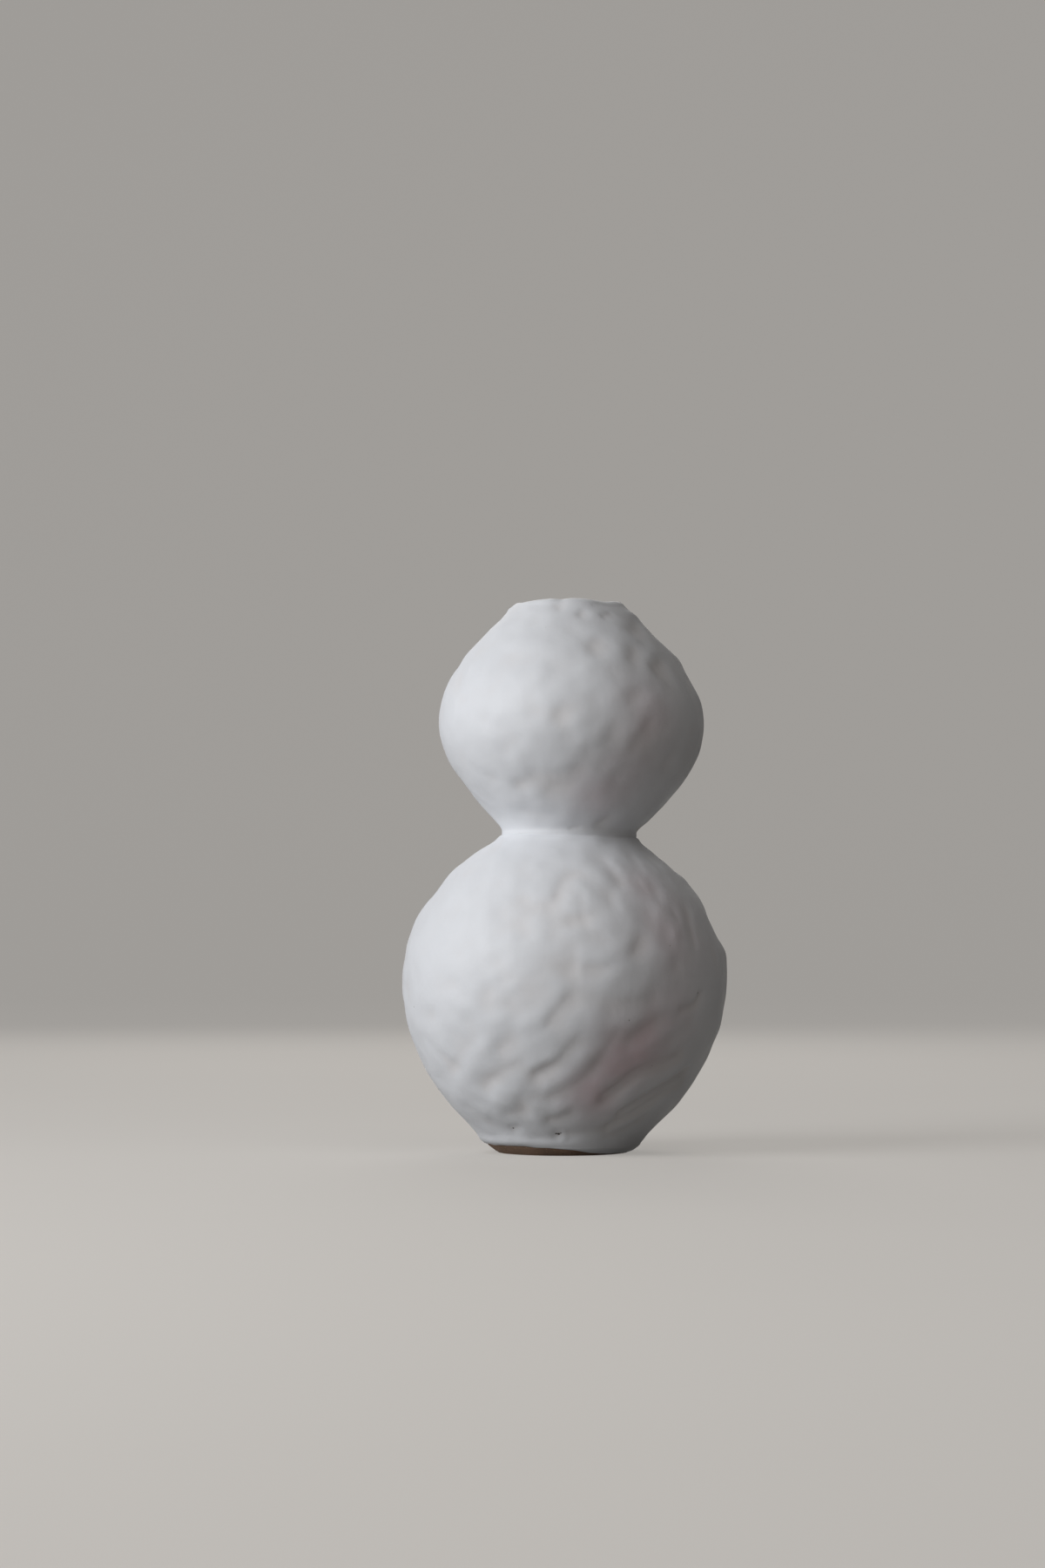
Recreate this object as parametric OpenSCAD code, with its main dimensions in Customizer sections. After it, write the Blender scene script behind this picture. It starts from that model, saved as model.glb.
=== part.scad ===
// Gourd vase, hand built in stoneware: a bare slab foot, pinched and coiled courses of clay luted one
// on another into a large belly and a smaller bulb above a tight waist, and a matte white glaze coat
// outside and inside. Millimetres, +Z up, origin at the centre of the foot's resting face.

/* [Outline] */
// Height from the resting face to the top of the lip
overall_h = 285; // [270:1:300]
// Widest diameter of the lower belly, over the glaze
belly_d = 168; // [150:1:185]
// Height of the belly's widest level
belly_h = 89; // [80:0.5:98]
// Diameter over the glaze at the waist, where belly and bulb meet
waist_d = 68; // [60:0.5:76]
// Height of the waist
waist_h = 162.5; // [156:0.5:168]
// Widest diameter of the upper bulb, over the glaze
bulb_d = 137; // [122:1:150]
// Height of the bulb's widest level
bulb_h = 220.5; // [212:0.5:228]
// Diameter over the glaze at the outer edge of the lip
mouth_d = 55; // [48:0.5:62]

/* [Foot slab] */
// Diameter of the circle that the vase stands on
foot_d = 67.5; // [58:0.5:72]
// Diameter of the slab's upper edge
slab_d = 79; // [74:0.5:86]
// Thickness of the slab, and height of the bare clay band
slab_t = 5; // [4:0.5:7]
// Height of the slab's upright edge above its bevel
slab_edge = 0.8; // [0.4:0.1:1.5]

/* [Clay wall] */
// Thickness of the clay wall in the belly and the waist
body_wall = 7; // [5:0.5:8.5]
// Thickness of the clay wall at the lip
rim_wall = 3.5; // [2.5:0.25:4.5]
// Rise of the rounded lip above the wall's top edges
lip_round = 1.4; // [1:0.1:2]
// Length of wall at the foot and at the lip over which its cut end turns level
end_turn = 12; // [8:1:16]

/* [Glaze] */
// Thickness of the outside coat
glaze_t = 0.6; // [0.4:0.1:0.9]
// Thickness of the inside coat
liner_t = 0.6; // [0.4:0.1:0.9]

/* [Courses of clay] */
// Height of the coil that closes the waist
collar_h = 16; // [12:1:22]
// Height of the coil that forms the rim, measured up the sloping wall
rim_h = 15.4; // [10:0.2:20]

/* [Roundness] */
// Belly below its widest level: 1 is a parabola, more is more conical
belly_low_bow = 0.98; // [0.9:0.01:1.2]
// Belly above its widest level
belly_top_bow = 0.9; // [0.85:0.01:1.2]
// Bulb below its widest level
bulb_low_bow = 1.28; // [1:0.01:1.4]
// Bulb above its widest level
bulb_top_bow = 1.27; // [1:0.01:1.4]
// Sharpness of the crease at the waist
crease = 36; // [20:1:70]

/* [Hand-formed unevenness] */
// Sideways shift of the belly from the foot's centre
belly_shift = 0.7; // [0:0.1:2]
// Sideways shift of the bulb's underside from the foot's centre
bulb_shift = 5.2; // [0:0.1:6]
// Sideways shift of the mouth from the foot's centre
mouth_shift = 2.8; // [0:0.1:6]
// Shift of the bulb towards the back
bulb_back = 1.2; // [0:0.1:3]
// Half the difference between the widest and the narrowest radius of the out-of-round body
oval = 0.9; // [0:0.1:1.5]
// Height of the three-sided swelling
lobe = 0.4; // [0:0.1:0.8]
// Rise and fall of the crease at the waist
waist_tilt = 0.7; // [0:0.1:1.5]
// Dip of the uneven lip below its highest point
lip_dip = 0.8; // [0:0.1:1.5]
// Depth of the hollows pinched round the wall above the foot and under the waist coil
pinch_depth = 1.2; // [0:0.1:2]
// Spread of a pinched hollow, from its middle to its flank
pinch_spread = 4.5; // [3:0.5:7]
// Height of the hollow above the foot
foot_pinch_h = 12; // [10:0.5:16]
// Depth of a full finger dent
dent_depth = 1.5; // [0:0.1:2]
// Spread of a full finger dent, from its middle to its flank
dent_spread = 10; // [8:0.5:13]

/* [Hidden] */

foot_clay = [0.46, 0.36, 0.30];
dark_clay = [0.55, 0.44, 0.37];
light_clay = [0.64, 0.53, 0.45];
white_glaze = [0.86, 0.86, 0.87];

// Points round each ring, and sides of the exact slab
sides = 48;
$fn = 144;
// Rings that the outside of each course is divided into, from the foot up
course_steps = [5, 6, 5, 4, 4, 4, 3, 2];
// Where the seams lie, as shares of the height from the slab to the waist coil and from there to the rim
lower_seam_shares = [0.31, 0.69];
upper_seam_shares = [0.33, 0.75];
// Where the rounded lip has its rings, as shares of the wall's width
lip_shares = [0.18, 0.5, 0.82];
// Directions, in degrees from +X: the widest of the oval, one of the three lobes, the highest point of
// the waist's crease and the highest point of the lip
oval_turn = 45;
lobe_turn = 107;
tilt_turn = 215;
lip_turn = 190;
// Reach of the waist's tilt above and below the crease, as a share of the height from waist to bulb
tilt_reach_share = 0.3;
// Level above which the lip's dip begins, as a share of the height from bulb to lip
dip_start_share = 0.6;
// Finger dents: height as a share of the overall height, turn in degrees from +X, spread as a share of
// dent_spread, depth as a share of dent_depth, where less than zero is a swelling
dent_shares = [
    [0.893,   4, 0.6, -0.8], [0.705,   0, 1.1, -0.3], [0.490,   2, 0.9, -0.4], [0.402,   0, 0.9,  1.6],
    [0.354,   2, 0.7, -1.1], [0.957, 180, 0.6,  1.0], [0.676, 182, 1.0,  0.5], [0.468, 180, 0.6,  0.9],
    [0.365, 178, 1.3,  0.3], [0.845, 312, 1.1,  0.6], [0.770, 285, 1.2,  0.5], [0.690, 318, 1.2,  0.5],
    [0.670, 245, 1.0,  0.4], [0.800, 250, 1.2, -0.3], [0.915, 275, 1.0,  0.4], [0.500, 262, 1.1,  0.6],
    [0.450, 300, 1.2,  0.5], [0.400, 232, 1.3, -0.3], [0.330, 272, 1.3,  0.6], [0.260, 305, 1.4,  0.5],
    [0.210, 250, 1.2,  0.5], [0.150, 290, 1.1,  0.5], [0.860,  50, 1.1,  0.6], [0.780, 100, 1.2,  0.6],
    [0.880, 140, 1.1,  0.5], [0.690,  60, 1.2,  0.5], [0.680, 130, 1.0,  0.5], [0.500,  70, 1.2,  0.7],
    [0.430, 130, 1.3,  0.6], [0.380,  80, 1.3, -0.4], [0.330,  40, 1.2,  0.6], [0.280, 115, 1.4,  0.6],
    [0.230, 160, 1.3,  0.5], [0.170,  75, 1.2,  0.5], [0.200, 205, 1.2,  0.4], [0.260,  20, 1.2,  0.4],
    [0.600, 356, 0.9,  0.9], [0.560, 180, 0.5,  0.9], [0.618, 180, 0.7, -0.3], [0.422, 180, 0.9, -0.4],
    [0.070, 185, 1.0,  0.5], [0.930, 356, 0.5,  0.5], [0.861,   2, 0.6,  0.4], [0.300,   2, 1.4,  0.3]
];

// Resolution of the slope, as a share of the overall height
slope_share = 0.001;
slope_step = overall_h * slope_share;
// The skin starts where the outside coat laps the slab's edge
skin_foot_r = slab_d / 2 + glaze_t;
// The wall ends below the rounded lip
wall_top_h = overall_h - lip_round;

collar_base_h = waist_h - collar_h / 2;
collar_top_h = waist_h + collar_h / 2;
// Rise of the bulb's shoulder for each length of wall
shoulder_h = overall_h - bulb_h;
shoulder_rise = shoulder_h / norm([shoulder_h, (bulb_d - mouth_d) / 2]);
rim_base_h = overall_h - rim_h * shoulder_rise;
function between(low, high, share) = low + (high - low) * share;
// Levels where one course ends and the next begins
seams = concat(
    [slab_t],
    [for (share = lower_seam_shares) between(slab_t, collar_base_h, share)],
    [collar_base_h, collar_top_h],
    [for (share = upper_seam_shares) between(collar_top_h, rim_base_h, share)],
    [rim_base_h, wall_top_h]
);

// A step from 0 to 1 with level ends
function ease(t) = let (s = max(0, min(1, t))) s * s * (3 - 2 * s);
// A bell of height 1, one spread wide
function bell(t) = exp(-t * t / 2);

// Radius over a quarter of the outline: a bowed parabola from its narrow end to its widest level
function quarter(h, end_h, end_r, mid_h, mid_r, bow) =
    let (u = min(1, abs(h - mid_h) / abs(end_h - mid_h)))
    end_r + (mid_r - end_r) * pow(1 - u * u, bow);
function belly_r(h) =
    h < belly_h ? quarter(h, slab_t, skin_foot_r, belly_h, belly_d / 2, belly_low_bow)
    : h < waist_h ? quarter(h, waist_h, waist_d / 2, belly_h, belly_d / 2, belly_top_bow)
    : waist_d / 2;
function bulb_r(h) =
    h < waist_h ? waist_d / 2
    : h < bulb_h ? quarter(h, waist_h, waist_d / 2, bulb_h, bulb_d / 2, bulb_low_bow)
    : quarter(h, overall_h, mouth_d / 2, bulb_h, bulb_d / 2, bulb_top_bow);
// The outline takes the larger of belly and bulb, softened where they cross in the crease
function outline_r(h) =
    let (unit = waist_d / 2)
    unit * pow(pow(belly_r(h) / unit, crease) + pow(bulb_r(h) / unit, crease) - 1, 1 / crease);
function outline_slope(h) =
    (outline_r(h + slope_step) - outline_r(h - slope_step)) / (2 * slope_step);

// Sideways drift of the hand-built body
function shift_x(h) =
    let (
        low = belly_shift * ease((h - slab_t) / (belly_h - slab_t)),
        high = between(bulb_shift, mouth_shift, max(0, (h - collar_top_h) / (overall_h - collar_top_h))),
        over = ease(0.5 + (h - waist_h) / (1.5 * collar_h))
    ) between(low, high, over);
function shift_y(h) = bulb_back * ease((h - collar_base_h) / (bulb_h - collar_base_h));

// Signed turn between two directions, from -180 to 180
function turn_between(a, b) = let (t = (a - b) % 360) t > 180 ? t - 360 : t < -180 ? t + 360 : t;
function dents(h, a, r, i = 0) =
    i == len(dent_shares) ? 0
    : let (
        row = dent_shares[i],
        spread = row[2] * dent_spread,
        up = (h - row[0] * overall_h) / spread,
        along = r * turn_between(a, row[1]) * PI / 180 / spread
    ) row[3] * dent_depth * bell(norm([up, along])) + dents(h, a, r, i + 1);
// A hollow pinched all round at one level, nothing at the foot
function pinch(h, level) = bell((h - level) / pinch_spread) * ease((h - slab_t) / pinch_spread);
// How far the skin stands out from the outline, nothing at the foot
function unevenness(h, a) =
    let (r = outline_r(h))
    ease((h - slab_t) / (2 * end_turn)) * (
        oval * cos(2 * (a - oval_turn)) + lobe * cos(3 * (a - lobe_turn)) - dents(h, a, r)
    )
    - pinch_depth * (pinch(h, foot_pinch_h) + pinch(h, collar_base_h));
// How far the skin is lifted: the waist's tilt and the lip's dip
function lift(h, a) =
    let (
        tilt_reach = tilt_reach_share * (bulb_h - waist_h),
        tilt = waist_tilt * cos(a - tilt_turn) * bell((h - waist_h) / tilt_reach),
        dip_h = between(bulb_h, overall_h, dip_start_share),
        dip = lip_dip * (1 - (cos(a - lip_turn) + cos(3 * (a - lip_turn))) / 2) / 2
    ) tilt - dip * ease((h - dip_h) / (overall_h - dip_h));

function wall(h) = between(body_wall, rim_wall, ease((h - waist_h) / (wall_top_h - waist_h)));
function clay_out(h) = glaze_t;
function clay_in(h) = glaze_t + wall(h);
function cavity(h) = glaze_t + wall(h) + liner_t;

// A point under the skin: square to it at that depth, and turned level towards the foot and the lip
function under_skin(h, a, depth) =
    let (
        slope = outline_slope(h),
        square = [-1, slope] / norm([1, slope]),
        level = [-norm([1, slope]), 0],
        turned = 1 - ease(min(h - slab_t, wall_top_h - h) / end_turn),
        step = depth * (square * (1 - turned) + level * turned),
        r = outline_r(h) + unevenness(h, a) + step[0]
    ) [shift_x(h) + r * cos(a), shift_y(h) + r * sin(a), h + lift(h, a) + step[1]];
function ring(h, depth) = [for (k = [0 : sides - 1]) under_skin(h, 360 * k / sides, depth)];
// A ring of the rounded lip, a share of the way from its outer edge to its inner edge
function lip_ring(share, out_depth, in_depth, rise) =
    let (outer = ring(wall_top_h, out_depth), inner = ring(wall_top_h, in_depth))
    [for (k = [0 : sides - 1]) between(outer[k], inner[k], share) + [0, 0, rise * sin(180 * share)]];
function lip_rings(out_depth, in_depth, rise) =
    [for (share = lip_shares) lip_ring(share, out_depth, in_depth, rise)];

// Levels of the rings of a course, and of the whole wall without repeats
function levels(i, steps) = [for (k = [0 : steps]) between(seams[i], seams[i + 1], k / steps)];
function outer_levels(i) = levels(i, course_steps[i]);
function inner_levels(i) = levels(i, ceil(course_steps[i] / 2));
courses = len(course_steps);
function stacked(lists) = [slab_t, for (list = lists, k = [1 : len(list) - 1]) list[k]];
all_outer_levels = stacked([for (i = [0 : courses - 1]) outer_levels(i)]);
all_inner_levels = stacked([for (i = [0 : courses - 1]) inner_levels(i)]);

function reversed(list) = [for (i = [len(list) - 1 : -1 : 0]) list[i]];
function joined(lists) = [for (list = lists, item = list) item];
// The two triangles between neighbouring points of ring a and ring b, for the whole way round
function strip(a, b) = [for (k = [0 : sides - 1]) let (n = (k + 1) % sides)
    each [[a * sides + k, b * sides + k, b * sides + n], [a * sides + k, b * sides + n, a * sides + n]]];

// A hoop: rings joined each to the next, and the last to the first
module hoop(rings) {
    count = len(rings);
    polyhedron(
        points = joined(rings),
        faces = joined([for (i = [0 : count - 1]) strip(i, (i + 1) % count)])
    );
}

// A pot: rings joined each to the next, closed by a point below the first and another below the last
module pot(rings, first_centre, last_centre) {
    count = len(rings);
    last_ring = (count - 1) * sides;
    first = count * sides;
    last = first + 1;
    polyhedron(
        points = concat(joined(rings), [first_centre, last_centre]),
        faces = concat(
            joined([for (i = [0 : count - 2]) strip(i, i + 1)]),
            [for (k = [0 : sides - 1]) [first, k, (k + 1) % sides]],
            [for (k = [0 : sides - 1]) [last, last_ring + (k + 1) % sides, last_ring + k]]
        )
    );
}

// One course of clay, between two seams
module course(i) {
    hoop(concat(
        [for (h = outer_levels(i)) ring(h, clay_out(h))],
        [for (h = reversed(inner_levels(i))) ring(h, clay_in(h))]
    ));
}

module foot_slab() {
    bevel_h = slab_t - slab_edge;
    color(foot_clay)
        rotate_extrude()
            polygon([[0, 0], [foot_d / 2, 0], [slab_d / 2, bevel_h], [slab_d / 2, slab_t], [0, slab_t]]);
}

module lower_bowl() {
    color(dark_clay) course(0);
}

module lower_belly() {
    color(light_clay) course(1);
}

module lower_shoulder() {
    color(dark_clay) course(2);
}

module waist_collar() {
    color(light_clay) course(3);
}

module upper_bowl() {
    color(dark_clay) course(4);
}

module upper_belly() {
    color(light_clay) course(5);
}

module upper_shoulder() {
    color(dark_clay) course(6);
}

// The rim coil ends in the rounded lip, kept down by the coat that covers it
module rim_coil() {
    i = courses - 1;
    color(light_clay)
        hoop(concat(
            [for (h = outer_levels(i)) ring(h, clay_out(h))],
            lip_rings(clay_out(wall_top_h), clay_in(wall_top_h), lip_round - glaze_t),
            [for (h = reversed(inner_levels(i))) ring(h, clay_in(h))]
        ));
}

// The outside coat, from the slab's edge up and over the lip
module outer_glaze() {
    top = wall_top_h;
    color(white_glaze)
        hoop(concat(
            [for (h = all_outer_levels) ring(h, 0)],
            lip_rings(0, cavity(top), lip_round),
            [ring(top, cavity(top)), ring(top, clay_in(top))],
            reversed(lip_rings(clay_out(top), clay_in(top), lip_round - glaze_t)),
            [for (h = reversed(all_outer_levels)) ring(h, clay_out(h))]
        ));
}

// The inside coat, from under the lip down over the floor
module inner_glaze() {
    levels_down = [for (i = [len(all_inner_levels) - 1 : -1 : 1]) all_inner_levels[i]];
    floor_ring = [for (p = ring(slab_t, cavity(slab_t))) p + [0, 0, liner_t]];
    color(white_glaze)
        pot(
            concat(
                [for (h = all_inner_levels) ring(h, clay_in(h))],
                [for (h = levels_down) ring(h, cavity(h))],
                [floor_ring]
            ),
            [0, 0, slab_t],
            [0, 0, slab_t + liner_t]
        );
}

foot_slab();
lower_bowl();
lower_belly();
lower_shoulder();
waist_collar();
upper_bowl();
upper_belly();
upper_shoulder();
rim_coil();
outer_glaze();
inner_glaze();
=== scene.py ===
"""Gourd vase, dressed over its solid frame.

Every surface of the pot is one function of two parameters: the level h up the outline and the turn a
round it. The outline, its hand-formed unevenness and its finger marks give the skin, and every other
surface lies at a depth under that skin. Lengths are metres and angles are radians, unless a name or the
comment above it says mm, degrees or pixels.
"""
import math
from functools import partial

import bpy
import numpy as np
from bpy.props import FloatProperty, FloatVectorProperty, IntProperty, PointerProperty
from bpy.types import Operator, Panel, PropertyGroup
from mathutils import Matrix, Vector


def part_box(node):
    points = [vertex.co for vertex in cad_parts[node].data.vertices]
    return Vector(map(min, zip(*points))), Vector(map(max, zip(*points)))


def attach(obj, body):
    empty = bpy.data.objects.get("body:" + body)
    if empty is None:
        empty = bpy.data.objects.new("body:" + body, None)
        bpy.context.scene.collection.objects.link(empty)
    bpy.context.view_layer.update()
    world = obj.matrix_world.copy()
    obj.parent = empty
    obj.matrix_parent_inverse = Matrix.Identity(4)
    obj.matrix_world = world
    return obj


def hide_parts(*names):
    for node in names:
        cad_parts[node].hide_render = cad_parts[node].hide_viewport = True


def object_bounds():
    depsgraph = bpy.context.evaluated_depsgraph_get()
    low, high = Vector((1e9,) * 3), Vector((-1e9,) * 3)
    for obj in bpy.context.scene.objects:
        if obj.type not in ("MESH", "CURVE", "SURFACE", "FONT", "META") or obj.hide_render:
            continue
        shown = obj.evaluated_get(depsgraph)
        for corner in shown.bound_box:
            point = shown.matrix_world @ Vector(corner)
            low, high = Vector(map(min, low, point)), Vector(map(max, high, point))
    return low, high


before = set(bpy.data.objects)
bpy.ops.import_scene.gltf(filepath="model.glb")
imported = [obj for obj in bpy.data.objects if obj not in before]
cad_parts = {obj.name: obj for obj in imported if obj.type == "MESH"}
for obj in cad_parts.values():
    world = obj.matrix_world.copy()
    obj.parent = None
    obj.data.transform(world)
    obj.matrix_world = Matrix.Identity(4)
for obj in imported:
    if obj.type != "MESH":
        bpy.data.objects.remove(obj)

bl_info = {
    "name": "Gourd vase",
    "version": (1, 0, 0),
    "blender": (4, 5, 0),
    "location": "View3D > Sidebar > Vase",
    "description": "Builds the glazed skin, clay courses, foot and studio of a hand-built gourd vase",
    "category": "Add Mesh",
}

FRAME_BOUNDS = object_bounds()
OVERALL_H = FRAME_BOUNDS[1][2]
SLAB_LOW, SLAB_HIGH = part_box("foot_slab")
BODY = "root"
MM = 0.001
FULL_TURN = 2.0 * math.pi
RIGHT_ANGLE = 0.5 * math.pi

# Columns of the grid round the pot: on the seen skin, and three times fewer on what lies under it
FINE_COLUMNS = 360
COARSE_COLUMNS = 120

# The courses of clay from the foot up: node, and how many steps of the frame's rings it has
COURSES = (
    ("lower_bowl", 5), ("lower_belly", 6), ("lower_shoulder", 5), ("waist_collar", 4),
    ("upper_bowl", 4), ("upper_belly", 4), ("upper_shoulder", 3), ("rim_coil", 2),
)
# Where the seams lie, as shares of the height from the slab to the waist coil and from there to the rim
LOWER_SEAM_SHARES = (0.31, 0.69)
UPPER_SEAM_SHARES = (0.33, 0.75)
# Rows of the grid for each step of a course: on the seen skin, and on what lies under it
FINE_ROWS = 6
COARSE_ROWS = 3
# Rings of the rounded lip, as shares of its width
LIP_SHARES = (0.06, 0.18, 0.34, 0.5, 0.66, 0.82, 0.94)
# How far the slab's upper corner is worn round
SLAB_CORNER = 0.9 * MM
# Rings of the coat's skirt over the slab, as shares of the way down to the glaze line
SKIRT_SHARES = (0.2, 0.4, 0.6, 0.75, 0.87, 0.95, 1.0)

# Directions in degrees from +X: the widest of the oval, one of the three lobes, the highest point of the
# waist's crease and the highest point of the lip
OVAL_TURN, LOBE_TURN, TILT_TURN, LIP_TURN = 45.0, 107.0, 215.0, 190.0
# The tilt's reach from the waist to the bulb's widest level, where the lip's dip starts above that level,
# and half the step over which the outline's slope is taken, as a share of the overall height
TILT_REACH_SHARE = 0.3
DIP_START_SHARE = 0.6
SLOPE_SHARE = 0.001
# Steps at which the outline's length is summed
ARC_STEPS = 1200
# Height over which the belly's shift turns into the bulb's, as a share of the waist coil's
DRIFT_SHARE = 1.5
# Rise above the slab over which the soft dents and the finger marks set in, as shares of the end turn
DENT_START_SHARE, MARK_START_SHARE = 2.0, 0.5
# Where a ray of the reference view may meet the skin, as shares of the widest radius, and in how many steps
# it is followed there
RAY_SHARES, RAY_STEPS = (-1.1, 0.3), 900
# Soft finger dents of the frame: height as a share of the overall height, turn in degrees, spread as a
# share of a full dent's, depth as a share of a full dent's, where less than zero is a swelling
SOFT_DENT_SHARES = (
    (0.893, 4, 0.6, -0.8), (0.705, 0, 1.1, -0.3), (0.490, 2, 0.9, -0.4), (0.402, 0, 0.9, 1.6),
    (0.354, 2, 0.7, -1.1), (0.957, 180, 0.6, 1.0), (0.676, 182, 1.0, 0.5), (0.468, 180, 0.6, 0.9),
    (0.365, 178, 1.3, 0.3), (0.845, 312, 1.1, 0.6), (0.770, 285, 1.2, 0.5), (0.690, 318, 1.2, 0.5),
    (0.670, 245, 1.0, 0.4), (0.800, 250, 1.2, -0.3), (0.915, 275, 1.0, 0.4), (0.500, 262, 1.1, 0.6),
    (0.450, 300, 1.2, 0.5), (0.400, 232, 1.3, -0.3), (0.330, 272, 1.3, 0.6), (0.260, 305, 1.4, 0.5),
    (0.210, 250, 1.2, 0.5), (0.150, 290, 1.1, 0.5), (0.860, 50, 1.1, 0.6), (0.780, 100, 1.2, 0.6),
    (0.880, 140, 1.1, 0.5), (0.690, 60, 1.2, 0.5), (0.680, 130, 1.0, 0.5), (0.500, 70, 1.2, 0.7),
    (0.430, 130, 1.3, 0.6), (0.380, 80, 1.3, -0.4), (0.330, 40, 1.2, 0.6), (0.280, 115, 1.4, 0.6),
    (0.230, 160, 1.3, 0.5), (0.170, 75, 1.2, 0.5), (0.200, 205, 1.2, 0.4), (0.260, 20, 1.2, 0.4),
    (0.600, 356, 0.9, 0.9), (0.560, 180, 0.5, 0.9), (0.618, 180, 0.7, -0.3), (0.422, 180, 0.9, -0.4),
    (0.070, 185, 1.0, 0.5), (0.930, 356, 0.5, 0.5), (0.861, 2, 0.6, 0.4), (0.300, 2, 1.4, 0.3),
)

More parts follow.
